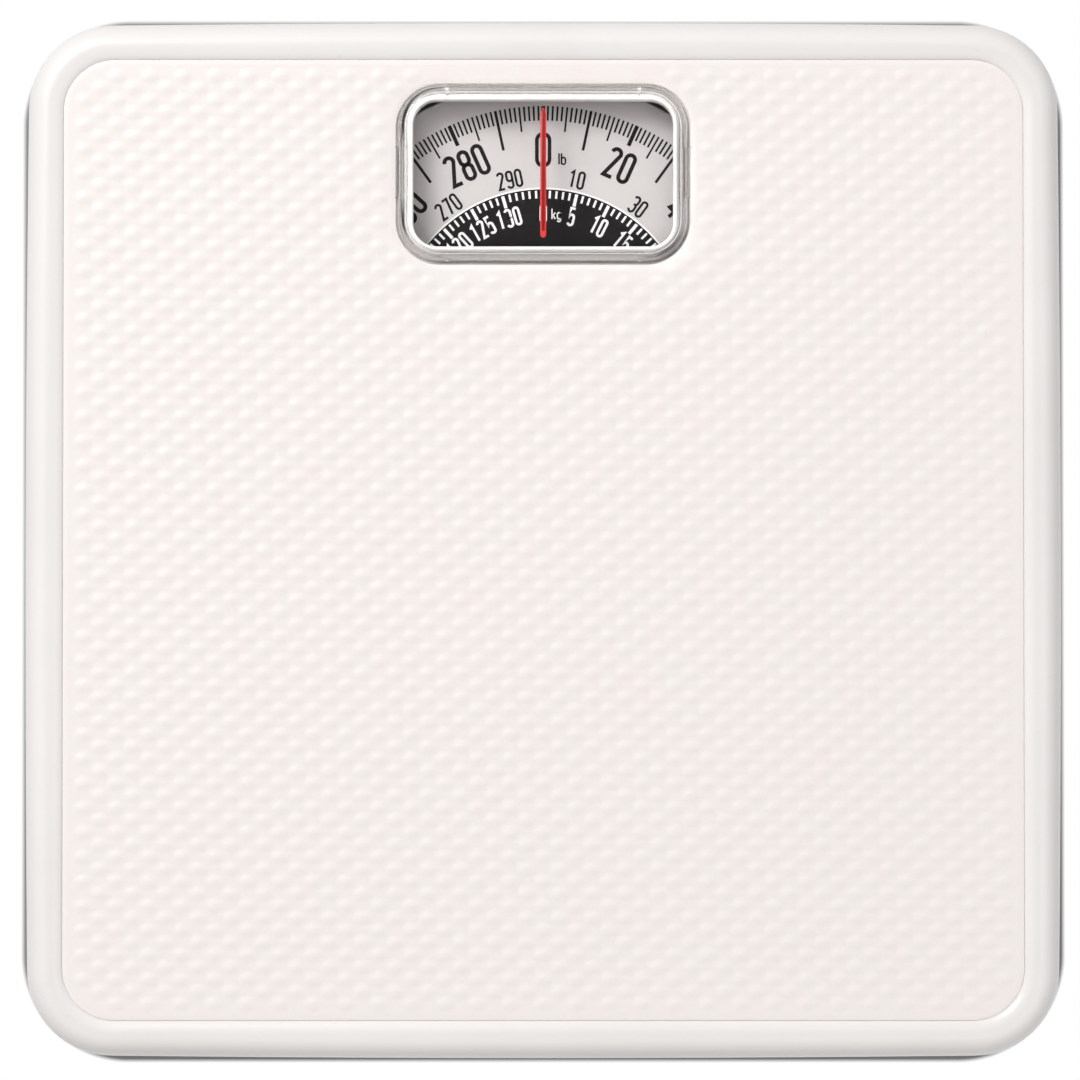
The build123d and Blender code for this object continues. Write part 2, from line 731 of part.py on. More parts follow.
def crank_bracket():
    """Channel on the base whose ears carry the crank's pin."""
    half = crank_bracket_inside / 2
    outside = half + bracket_sheet
    rise = crank_z + 3.5 - base_floor_z
    front = crank_y - crank_bracket_length / 2
    body = block(2 * outside, crank_bracket_length, rise, crank_x - outside, front, base_floor_z)
    gap = block(2 * half, crank_bracket_length + 2, rise, crank_x - half, front - 1, base_floor_z + bracket_sheet)
    far = outside + cut_run
    return body - gap - rod_x(crank_pin_radius, crank_x - far, crank_x + far, crank_y, crank_z)


def crank_pin():
    """Pin of the bell crank, with a head on its inner side."""
    outside = crank_bracket_inside / 2 + bracket_sheet
    pin = rod_x(crank_pin_radius, crank_x - outside, crank_x + outside + 0.6, crank_y, crank_z)
    return pin + rod_x(2.4, crank_x - outside - 1, crank_x - outside, crank_y, crank_z)


def return_spring_x():
    """Place along X of the return spring, in line with the toothed bar."""
    return rack_back() - rack_bar_width / 2


def rack_spring():
    """Return spring from the front of the rack to its post."""
    start = post_y + post_radius + seat_gap
    spring = coil(return_coil_radius, return_wire_radius, return_turns, 0, rack_front() - seat_gap - start)
    return Pos(return_spring_x(), start, rack_low_z + rack_thickness / 2) * Rot(-90, 0, 0) * spring


def spring_post():
    """Post on the base that holds the return spring."""
    high = rack_low_z + rack_thickness / 2 + return_coil_radius
    post = rod(post_radius, base_floor_z, high, return_spring_x(), post_y)
    return post + rod(post_foot_radius, base_floor_z, base_floor_z + bracket_sheet, return_spring_x(), post_y)


def hold_down_spring(x):
    """Tension spring between a lug of the cover and a lug of the base."""
    return Pos(x, 0, 0) * coil(hold_coil_radius, hold_wire_radius, hold_turns,
                               base_floor_z + hold_lug + seat_gap, under_z - hold_lug - seat_gap)


os.makedirs("parts", exist_ok=True)
sides = {"left": -1, "right": 1}
ends = {"long": True, "short": False}
places = {True: "front", False: "rear"}

keep("platform_cover", platform_cover())
keep("tread_mat", tread_mat())
keep("lens", lens())
keep("pointer", pointer())
keep("base_pan", base_pan())
foot_names = ("foot_front_left", "foot_rear_left", "foot_front_right", "foot_rear_right")
for name, (x, y) in zip(foot_names, foot_places()):
    keep(name, foot(x, y))
for side_name, side in sides.items():
    for end_name, long in ends.items():
        place = places[long] + "_" + side_name
        keep(end_name + "_lever_" + side_name, lever(side, long))
        keep("pivot_pin_" + place, pivot_pin(side, long))
        keep("fulcrum_bracket_" + place, fulcrum_bracket(side, long))
        keep("load_bracket_" + place, load_bracket(side, long))
keep("calibration_plate", calibration_plate())
keep("main_spring", main_spring())
keep("adjuster_yoke", adjuster())
keep("zero_wheel", zero_wheel())
keep("spring_bracket", spring_bracket())
keep("dial", dial())
keep("dial_collar", dial_collar())
keep("dial_washer", dial_washer())
keep("dial_shaft", dial_shaft())
keep("dial_bridge", dial_bridge())
keep("base_bearing", base_bearing())
keep("bridge_bearing", bridge_bearing())
keep("pinion", pinion())
keep("rack", rack())
keep("crank", crank())
keep("crank_bracket", crank_bracket())
keep("crank_pin", crank_pin())
keep("rack_spring", rack_spring())
keep("rack_spring_post", spring_post())
keep("bracket_rivets", Compound(children=[rivet(x, y, top) for x, y, top in rivet_places()]))
keep("hold_down_spring_left", hold_down_spring(-hold_down_x))
keep("hold_down_spring_right", hold_down_spring(hold_down_x))
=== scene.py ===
"""Mechanical bathroom scale: enamelled cover, pebbled mat, clear lens, printed dial and movement."""

import json
import logging
import math
from dataclasses import dataclass
from enum import Enum
from typing import Any, Callable, Dict, List, Optional, Sequence, Tuple

import bmesh
import bpy
import numpy as np
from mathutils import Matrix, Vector


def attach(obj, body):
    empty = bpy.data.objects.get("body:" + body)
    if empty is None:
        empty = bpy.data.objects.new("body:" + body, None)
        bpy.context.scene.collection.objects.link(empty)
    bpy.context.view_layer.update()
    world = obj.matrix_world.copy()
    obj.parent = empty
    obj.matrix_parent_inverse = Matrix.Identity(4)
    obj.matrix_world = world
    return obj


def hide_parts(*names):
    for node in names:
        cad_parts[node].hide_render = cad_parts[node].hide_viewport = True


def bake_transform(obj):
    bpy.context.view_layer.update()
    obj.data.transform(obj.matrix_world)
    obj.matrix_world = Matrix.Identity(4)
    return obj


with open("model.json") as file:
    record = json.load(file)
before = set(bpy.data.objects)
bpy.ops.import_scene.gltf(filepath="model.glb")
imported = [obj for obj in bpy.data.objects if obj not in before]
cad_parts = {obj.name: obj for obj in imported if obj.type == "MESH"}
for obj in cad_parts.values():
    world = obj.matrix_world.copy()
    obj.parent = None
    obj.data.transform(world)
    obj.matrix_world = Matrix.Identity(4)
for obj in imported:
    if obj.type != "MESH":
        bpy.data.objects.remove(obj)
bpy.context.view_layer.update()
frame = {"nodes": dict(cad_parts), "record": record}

MM = 0.001
Point = Tuple[float, float, float]
Flat = Tuple[float, float]
Colour = Tuple[float, float, float]
LOG = logging.getLogger("scale")


class Op(Enum):
    """Arithmetic of a Math node."""

    ADD = "ADD"
    SUBTRACT = "SUBTRACT"
    MULTIPLY = "MULTIPLY"
    DIVIDE = "DIVIDE"
    POWER = "POWER"
    MINIMUM = "MINIMUM"
    MAXIMUM = "MAXIMUM"
    GREATER = "GREATER_THAN"


class Kind(Enum):
    """How the faces of a piece are shaded."""

    FLAT = "flat"
    SMOOTH = "smooth"
    CREASED = "creased"


class Signal:
    """A socket of a node tree, with arithmetic that adds Math nodes."""

    def __init__(self, tree: "Tree", socket: bpy.types.NodeSocket) -> None:
        """Wrap a socket of a tree."""
        self.tree = tree
        self.socket = socket

    def apply(self, operation: Op, first: Any, second: Any = None) -> "Signal":
        """Add one Math node.

        Args:
            operation: What the node does.
            first: Its first value or link.
            second: Its second value or link.

        Returns:
            The node's result.
        """
        values = {0: first} if second is None else {0: first, 1: second}
        return self.tree.out("ShaderNodeMath", {"operation": operation.value}, values, "Value")

    def __add__(self, other: Any) -> "Signal":
        """Sum of two signals."""
        return self.apply(Op.ADD, self, other)

    def __radd__(self, other: Any) -> "Signal":
        """Sum of a number and a signal."""
        return self.apply(Op.ADD, other, self)

    def __sub__(self, other: Any) -> "Signal":
        """Difference of two signals."""
        return self.apply(Op.SUBTRACT, self, other)

    def __rsub__(self, other: Any) -> "Signal":
        """Difference of a number and a signal."""
        return self.apply(Op.SUBTRACT, other, self)

    def __mul__(self, other: Any) -> "Signal":
        """Product of two signals."""
        return self.apply(Op.MULTIPLY, self, other)

    def __rmul__(self, other: Any) -> "Signal":
        """Product of a number and a signal."""
        return self.apply(Op.MULTIPLY, other, self)

    def __truediv__(self, other: Any) -> "Signal":
        """Quotient of two signals."""
        return self.apply(Op.DIVIDE, self, other)

    def __rtruediv__(self, other: Any) -> "Signal":
        """Quotient of a number and a signal."""
        return self.apply(Op.DIVIDE, other, self)

    def __pow__(self, other: Any) -> "Signal":
        """Power of a signal."""
        return self.apply(Op.POWER, self, other)

    def __rpow__(self, other: Any) -> "Signal":
        """Power of a number by a signal."""
        return self.apply(Op.POWER, other, self)

    def above(self, limit: Any) -> "Signal":
        """One where the signal is above a limit, else zero."""
        return self.apply(Op.GREATER, self, limit)

    def at_least(self, limit: Any) -> "Signal":
        """The larger of the signal and a limit."""
        return self.apply(Op.MAXIMUM, self, limit)

    def at_most(self, limit: Any) -> "Signal":
        """The smaller of the signal and a limit."""
        return self.apply(Op.MINIMUM, self, limit)


class Tree:
    """The node tree of a material or the world."""

    def __init__(self, owner: Any) -> None:
        """Empty the tree of its owner and keep it."""
        owner.use_nodes = True
        self.nodes = owner.node_tree.nodes
        self.links = owner.node_tree.links
        self.nodes.clear()

    def add(self, kind: str, settings: Optional[Dict[str, Any]] = None,
            values: Optional[Dict[Any, Any]] = None) -> bpy.types.Node:
        """Add a node, with its settings first and then its sockets.

        Args:
            kind: Blender's type name of the node.
            settings: Its own settings; "stops" holds the stops of a ramp.
            values: Values or links of its sockets, by name or place.

        Returns:
            The node.
        """
        node = self.nodes.new(kind)
        for name, value in (settings or {}).items():
            if name == "stops":
                while len(node.color_ramp.elements) < len(value):
                    node.color_ramp.elements.new(0.5)
                for element, (place, colour) in zip(node.color_ramp.elements, value):
                    element.position = place
                    element.color = (*colour, 1.0)
            else:
                setattr(node, name, value)
        for name, value in (values or {}).items():
            socket = node.inputs[name]
            if isinstance(value, Signal):
                self.links.new(value.socket, socket)
            elif isinstance(value, tuple) and len(value) == 3 and socket.type == "RGBA":
                socket.default_value = (*value, 1.0)
            else:
                socket.default_value = value
        return node

    def out(self, kind: str, settings: Optional[Dict[str, Any]] = None,
            values: Optional[Dict[Any, Any]] = None, name: Any = 0) -> Signal:
        """Add a node and wrap one of its outputs.

        Args:
            kind: Blender's type name of the node.
            settings: Its own settings.
            values: Values or links of its sockets.
            name: Name or place of the output.

        Returns:
            The output.
        """
        return Signal(self, self.add(kind, settings, values).outputs[name])

    def place(self) -> Signal:
        """Object coordinates, in metres."""
        return self.out("ShaderNodeTexCoord", name="Object")

    def noise(self, vector: Signal, scale: float, detail: float = 3.0, roughness: float = 0.5) -> Signal:
        """Cloudy noise from 0 to 1.

        Args:
            vector: Where it is read.
            scale: Features in a metre.
            detail: Octaves.
            roughness: Strength of the fine octaves.

        Returns:
            The noise value.
        """
        return self.out("ShaderNodeTexNoise", None,
                        {"Vector": vector, "Scale": scale, "Detail": detail, "Roughness": roughness}, "Fac")

    def cells(self, vector: Signal, scale: float, name: str = "Distance", feature: str = "F1") -> Signal:
        """Voronoi cells.

        Args:
            vector: Where they are read.
            scale: Cells in a metre.
            name: Output that is wanted.
            feature: Blender's name of the cell feature.

        Returns:
            The output.
        """
        return self.out("ShaderNodeTexVoronoi", {"feature": feature},
                        {"Vector": vector, "Scale": scale}, name)

    def stretch(self, vector: Signal, by: Point) -> Signal:
        """A vector scaled along each axis."""
        return self.out("ShaderNodeVectorMath", {"operation": "MULTIPLY"}, {0: vector, 1: by})

    def axis(self, vector: Signal, name: str) -> Signal:
        """One coordinate of a vector."""
        return self.out("ShaderNodeSeparateXYZ", None, {0: vector}, name)

    def mix(self, share: Any, first: Any, second: Any) -> Signal:
        """Mix two colours.

        Args:
            share: Share of the second one.
            first: First colour.
            second: Second colour.

        Returns:
            The mixed colour.
        """
        node = self.add("ShaderNodeMix", {"data_type": "RGBA"})
        for name, value in (("Factor_Float", share), ("A_Color", first), ("B_Color", second)):
            socket = next(s for s in node.inputs if s.identifier == name)
            if isinstance(value, Signal):
                self.links.new(value.socket, socket)
            elif isinstance(value, tuple):
                socket.default_value = (*value, 1.0)
            else:
                socket.default_value = value
        return Signal(self, next(s for s in node.outputs if s.identifier == "Result_Color"))

    def ramp(self, share: Signal, low: float, high: float, start: float, end: float) -> Signal:
        """Map a range of a signal to another range, without overshoot.

        Args:
            share: The signal.
            low: Where the range starts.
            high: Where it ends.
            start: Result at the start.
            end: Result at the end.

        Returns:
            The mapped signal.
        """
        return self.out("ShaderNodeMapRange", {"clamp": True},
                        {0: share, 1: low, 2: high, 3: start, 4: end}, "Result")

    def bump(self, height: Signal, depth: float, strength: float = 1.0) -> Signal:
        """A bumped normal.

        Args:
            height: Height from 0 to 1.
            depth: Depth of the relief in metres.
            strength: Strength of the effect.

        Returns:
            The normal.
        """
        return self.out("ShaderNodeBump", None,
                        {"Strength": strength, "Distance": depth, "Height": height}, "Normal")

    def surface(self, values: Dict[str, Any]) -> Signal:
        """The common shader, with values or links of its sockets."""
        return self.out("ShaderNodeBsdfPrincipled", None, values, "BSDF")

    def finish(self, shader: Signal, kind: str = "ShaderNodeOutputMaterial") -> None:
        """Link a shader to the output of the tree."""
        self.add(kind, None, {"Surface": shader})


@dataclass(frozen=True)
class Finish:
    """One finish of the scale, made once and shared by its pieces."""

    name: str
    colour: Colour

    def build(self, tree: Tree) -> Signal:
        """The shader of the finish; each finish has its own."""
        return tree.surface({"Base Color": self.colour})

    def material(self) -> bpy.types.Material:
        """The material of the finish, made at its first use."""
        known = bpy.data.materials.get(self.name)
        if known is None:
            known = bpy.data.materials.new(self.name)
            tree = Tree(known)
            tree.finish(self.build(tree))
            known.diffuse_color = (*self.colour, 1.0)
        return known


@dataclass(frozen=True)
class Enamel(Finish):
    """Baked enamel with a soft gloss, a faint waviness and fine dust."""

    roughness: float = 0.34

    def build(self, tree: Tree) -> Signal:
        """Shader of the enamel."""
        place = tree.place()
        cloud = tree.noise(place, 28.0, 4.0)
        speck = tree.ramp(tree.cells(place, 420.0), 0.0, 0.16, 1.0, 0.0)
        rare = tree.ramp(tree.noise(place, 190.0, 1.0), 0.66, 0.70, 0.0, 1.0)
        dust = speck * rare
        shade = tuple(c * 0.965 for c in self.colour)
        base = tree.mix(tree.ramp(cloud, 0.35, 0.7, 0.0, 1.0), self.colour, shade)
        base = tree.mix(dust * 0.35, base, tuple(c * 0.6 for c in self.colour))
        wave = tree.noise(place, 95.0, 2.0)
        peel = tree.noise(place, 900.0, 2.0)
        return tree.surface({
            "Base Color": base, "Roughness": cloud * 0.10 + (self.roughness - 0.04) + dust * 0.3,
            "IOR": 1.5, "Coat Weight": 0.25, "Coat Roughness": 0.15,
            "Normal": tree.bump(wave * 0.8 + peel * 0.08, 0.00006)})


@dataclass(frozen=True)
class MatVinyl(Finish):
    """Satin vinyl of the mat, mottled, with a very fine pitted grain."""

    blush: Colour = (0.9, 0.85, 0.83)

    def build(self, tree: Tree) -> Signal:
        """Shader of the mat."""
        place = tree.place()
        mottle = tree.noise(place, 170.0, 4.0, 0.6)
        fine = tree.noise(place, 1500.0, 3.0, 0.6)
        base = tree.mix(tree.ramp(mottle, 0.36, 0.66, 0.0, 1.0), self.colour, self.blush)
        base = tree.mix(tree.ramp(fine, 0.45, 0.8, 0.0, 0.16), base, tuple(c * 0.9 for c in self.colour))
        return tree.surface({
            "Base Color": base, "Roughness": mottle * 0.14 + 0.36, "IOR": 1.5,
            "Normal": tree.bump(fine, 0.00003)})


@dataclass(frozen=True)
class ClearPlastic(Finish):
    """Clear moulded plastic that lets daylight through to the dial."""

    def build(self, tree: Tree) -> Signal:
        """Shader of the lens."""
        place = tree.place()
        ripple = tree.noise(place, 70.0, 2.0)
        haze = tree.ramp(tree.noise(place, 240.0, 3.0), 0.62, 0.8, 0.0, 0.03)
        body = tree.surface({
            "Base Color": self.colour, "Roughness": haze, "IOR": 1.42, "Transmission Weight": 1.0,
            "Normal": tree.bump(ripple, 0.00001)})
        clear = tree.out("ShaderNodeBsdfTransparent", None, {"Color": (0.985, 0.985, 0.985, 1.0)}, "BSDF")
        shadow = tree.out("ShaderNodeLightPath", name="Is Shadow Ray")
        return tree.out("ShaderNodeMixShader", None, {0: shadow, 1: body, 2: clear}, "Shader")


@dataclass(frozen=True)
class Moulded(Finish):
    """Moulded plastic or rubber with a fine spark texture."""

    roughness: float = 0.4
    grain: float = 0.00003
    dust: float = 0.1

    def build(self, tree: Tree) -> Signal:
        """Shader of the moulding."""
        place = tree.place()
        spark = tree.noise(place, 1800.0, 3.0, 0.6)
        cloud = tree.noise(place, 90.0, 4.0)
        pale = tuple(min(1.0, c * 0.75 + 0.12) for c in self.colour)
        base = tree.mix(tree.ramp(cloud, 0.4, 0.8, 0.0, self.dust), self.colour, pale)
        return tree.surface({
            "Base Color": base, "Roughness": cloud * 0.12 + (self.roughness - 0.05),
            "Normal": tree.bump(spark, self.grain)})


@dataclass(frozen=True)
class Sheen(Finish):
    """Plated or drawn metal with a fine draw line and soft stains."""

    roughness: float = 0.3
    draw: Point = (40.0, 2400.0, 2400.0)
    spangle: float = 0.0
    tarnish: Colour = (0.3, 0.28, 0.25)

    def build(self, tree: Tree) -> Signal:
        """Shader of the metal."""
        place = tree.place()
        line = tree.noise(tree.stretch(place, self.draw), 1.0, 3.0, 0.55)
        cloud = tree.noise(place, 130.0, 5.0, 0.6)
        grey = tree.out("ShaderNodeSeparateColor", None,
                        {0: tree.cells(place, 300.0, "Color")}, 0)
        base = tree.mix(tree.ramp(cloud, 0.45, 0.85, 0.0, 0.35), self.colour, self.tarnish)
        base = tree.mix(grey * self.spangle, base, tuple(min(1.0, c * 1.25) for c in self.colour))
        return tree.surface({
            "Base Color": base, "Metallic": 1.0,
            "Roughness": cloud * 0.2 + line * 0.1 + grey * (self.spangle * 0.2) + (self.roughness - 0.12),
            "Normal": tree.bump(line, 0.000012)})


@dataclass(frozen=True)
class PanPaint(Finish):
    """Satin paint over pressed steel, with orange peel and a few rubs."""

    streaks: Point = (30.0, 160.0, 60.0)
    rubbed: Colour = (0.42, 0.42, 0.42)

    def build(self, tree: Tree) -> Signal:
        """Shader of the painted pan."""
        place = tree.place()
        peel = tree.noise(place, 700.0, 2.0)
        cloud = tree.noise(place, 22.0, 5.0, 0.6)
        streak = tree.noise(tree.stretch(place, self.streaks), 1.0, 4.0, 0.7)
        rub = tree.ramp(streak, 0.66, 0.74, 0.0, 0.5)
        shade = tuple(c * 0.93 for c in self.colour)
        base = tree.mix(tree.ramp(cloud, 0.35, 0.7, 0.0, 1.0), self.colour, shade)
        base = tree.mix(rub, base, self.rubbed)
        return tree.surface({
            "Base Color": base, "Roughness": cloud * 0.1 + rub * 0.2 + 0.34,
            "Normal": tree.bump(peel, 0.00003)})


@dataclass(frozen=True)
class DialPaint(Finish):
    """Screen-printed or painted layer of the dial, with a very fine tooth."""

    roughness: float = 0.42
    gloss: float = 0.35

    def build(self, tree: Tree) -> Signal:
        """Shader of the dial's paint or ink."""
        place = tree.place()
        tooth = tree.noise(place, 2600.0, 2.0)
        cloud = tree.noise(place, 45.0, 4.0)
        shade = tuple(c * 0.94 for c in self.colour)
        base = tree.mix(tree.ramp(cloud, 0.35, 0.7, 0.0, 1.0), self.colour, shade)
        return tree.surface({
            "Base Color": base, "Roughness": cloud * 0.1 + (self.roughness - 0.04),
            "Specular IOR Level": self.gloss,
            "Normal": tree.bump(tooth, 0.000006)})


class Finishes:
    """Every finish of the scale, named for what wears it."""

    COVER = Enamel("white_enamel", (0.868, 0.838, 0.822))
    MAT = MatVinyl("mat_vinyl", (0.90, 0.852, 0.824), (0.905, 0.832, 0.806))
    LENS = ClearPlastic("lens_clear", (1.0, 0.998, 0.998))
    POINTER = Moulded("pointer_red", (0.66, 0.02, 0.022), 0.4, 0.00001, 0.03)
    PAN = PanPaint("pan_paint", (0.76, 0.76, 0.75))
    FACE = DialPaint("dial_face", (0.565, 0.535, 0.53))
    INK = DialPaint("dial_ink", (0.010, 0.007, 0.008), 0.6, 0.12)
    KILO = DialPaint("dial_kilo_black", (0.007, 0.005, 0.006), 0.6, 0.15)
    KILO_INK = DialPaint("dial_kilo_white", (0.86, 0.85, 0.84), 0.5)
    WHEEL = Moulded("wheel_black", (0.02, 0.02, 0.021), 0.42, 0.00004, 0.08)
    RUBBER = Moulded("black_rubber", (0.028, 0.027, 0.026), 0.72, 0.00006, 0.2)
    BRASS = Sheen("turned_brass", (0.76, 0.56, 0.27), 0.30, (2200.0, 2200.0, 60.0), 0.0, (0.42, 0.26, 0.10))
    SPRING = Sheen("spring_wire", (0.50, 0.50, 0.51), 0.26, (900.0, 900.0, 900.0), 0.0, (0.26, 0.24, 0.22))
    ZINC = Sheen("zinc_sheet", (0.68, 0.69, 0.71), 0.34, (60.0, 60.0, 2400.0), 0.35, (0.50, 0.49, 0.46))


def add_piece(name: str, vertices: Sequence[Point], faces: Sequence[Sequence[int]], finish: Finish, body: str,
              replaces: Sequence[str] = (), kind: Kind = Kind.CREASED) -> bpy.types.Object:
    """Make a mesh object of the scale and hang it on its body.

    Args:
        name: Name of the piece.
        vertices: Corner points in metres.
        faces: Corner numbers of each face.
        finish: What it is finished in.
        body: Body that it rides on, or nothing for a piece that spans two bodies.
        replaces: CAD nodes that it stands for.
        kind: How its faces are shaded.

    Returns:
        The object.
    """
    mesh = bpy.data.meshes.new(name)
    mesh.from_pydata([tuple(map(float, v)) for v in vertices], [], [tuple(map(int, f)) for f in faces])
    mesh.validate()
    mesh.materials.append(finish.material())
    if kind is not Kind.FLAT:
        mesh.shade_smooth()
    if kind is Kind.CREASED:
        mesh.set_sharp_from_angle(angle=math.radians(40))
    piece = bpy.data.objects.new(name, mesh)
    bpy.context.scene.collection.objects.link(piece)
    if body:
        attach(piece, body)
    if replaces:
        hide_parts(*replaces)
    LOG.info("%s: %d faces on %s", name, len(mesh.polygons), body or "two bodies")
    return piece


class Skin:
    """A closed skin that grows ring by ring."""

    def __init__(self) -> None:
        """Start with no points."""
        self.points: List[Point] = []
        self.faces: List[Tuple[int, ...]] = []

    def ring(self, points: Sequence[Point]) -> range:
        """Add a ring of points and return their numbers."""
        start = len(self.points)
        self.points.extend(points)
        return range(start, start + len(points))

    def join(self, low: Sequence[int], high: Sequence[int], closed: bool = True) -> None:
        """Join two rings with quads.

        Args:
            low: First ring, seen anticlockwise from outside below the second.
            high: Second ring.
            closed: Whether the rings close on themselves.
        """
        count = len(low)
        for i in range(count if closed else count - 1):
            j = (i + 1) % count
            self.faces.append((low[i], low[j], high[j], high[i]))

    def loft(self, rings: Sequence[Sequence[Point]], closed: bool = False) -> List[range]:
        """Add rings and join each to the next.

        Args:
            rings: Points of each ring.
            closed: Whether the last ring joins the first.

        Returns:
            The numbers of each ring.
        """
        numbers = [self.ring(points) for points in rings]
        for low, high in zip(numbers, numbers[1:]):
            self.join(low, high)
        if closed:
            self.join(numbers[-1], numbers[0])
        return numbers

    def cap(self, ring: Sequence[int], upward: bool) -> None:
        """Close a ring with one face."""
        self.faces.append(tuple(ring) if upward else tuple(reversed(ring)))


def rounded_ring(half_x: float, half_y: float, corner: float, z: float, y: float = 0.0,
                 steps: int = 10, inner: int = 0) -> List[Point]:
    """Points round a rectangle with round corners, anticlockwise from above.

    Args:
        half_x: Half of its size along X.
        half_y: Half of its size along Y.
        corner: Corner radius.
        z: Its height.
        y: Its centre along Y.
        steps: Steps in each corner.
        inner: Extra points on each side.

    Returns:
        The points.
    """
    corner = max(min(corner, half_x, half_y), 0.00001)
    points: List[Point] = []
    centres = ((1, 1, 0), (-1, 1, 90), (-1, -1, 180), (1, -1, 270))
    for place, (sx, sy, start) in enumerate(centres):
        cx, cy = sx * (half_x - corner), sy * (half_y - corner)
        for i in range(steps + 1):
            angle = math.radians(start + 90.0 * i / steps)
            points.append((cx + corner * math.cos(angle), y + cy + corner * math.sin(angle), z))
        nx, ny, turn = centres[(place + 1) % 4]
        angle = math.radians(turn)
        end = (nx * (half_x - corner) + corner * math.cos(angle),
               y + ny * (half_y - corner) + corner * math.sin(angle))
        here = points[-1]
        for i in range(1, inner + 1):
            t = i / (inner + 1)
            points.append((here[0] + (end[0] - here[0]) * t, here[1] + (end[1] - here[1]) * t, z))
    return points


def tube(path: Sequence[Point], radius: float, sides: int = 10) -> Skin:
    """A round wire along a path, with closed ends.

    Args:
        path: Points of its centre line.
        radius: Wire radius.
        sides: Sides of its section.

    Returns:
        The skin.
    """
    skin = Skin()
    line = [Vector(p) for p in path]
    across = None
    rings = []
    for i, here in enumerate(line):
        ahead = (line[min(i + 1, len(line) - 1)] - line[max(i - 1, 0)]).normalized()
        if across is None:
            across = ahead.orthogonal().normalized()
        across = (across - ahead * across.dot(ahead)).normalized()
        side = ahead.cross(across)
        rings.append([tuple(here + (across * math.cos(a) + side * math.sin(a)) * radius)
                      for a in (2 * math.pi * k / sides for k in range(sides))])
    numbers = skin.loft(rings)
    skin.cap(numbers[0], False)
    skin.cap(numbers[-1], True)
    return skin


def lathe(profile: Sequence[Flat], x: float, y: float, sides: int = 48) -> Skin:
    """A turned shape about an upright axis, closed at both ends.

    Args:
        profile: Radius and height of each step, from the bottom's outer side up.
        x: Place of the axis along X.
        y: Place of the axis along Y.
        sides: Steps round the axis.

    Returns:
        The skin.
    """
    skin = Skin()
    turn = [2 * math.pi * k / sides for k in range(sides)]
    rings = [[(x + r * math.cos(a), y + r * math.sin(a), z) for a in turn] for r, z in profile]
    numbers = skin.loft(rings)
    skin.cap(numbers[0], False)
    skin.cap(numbers[-1], True)
    return skin


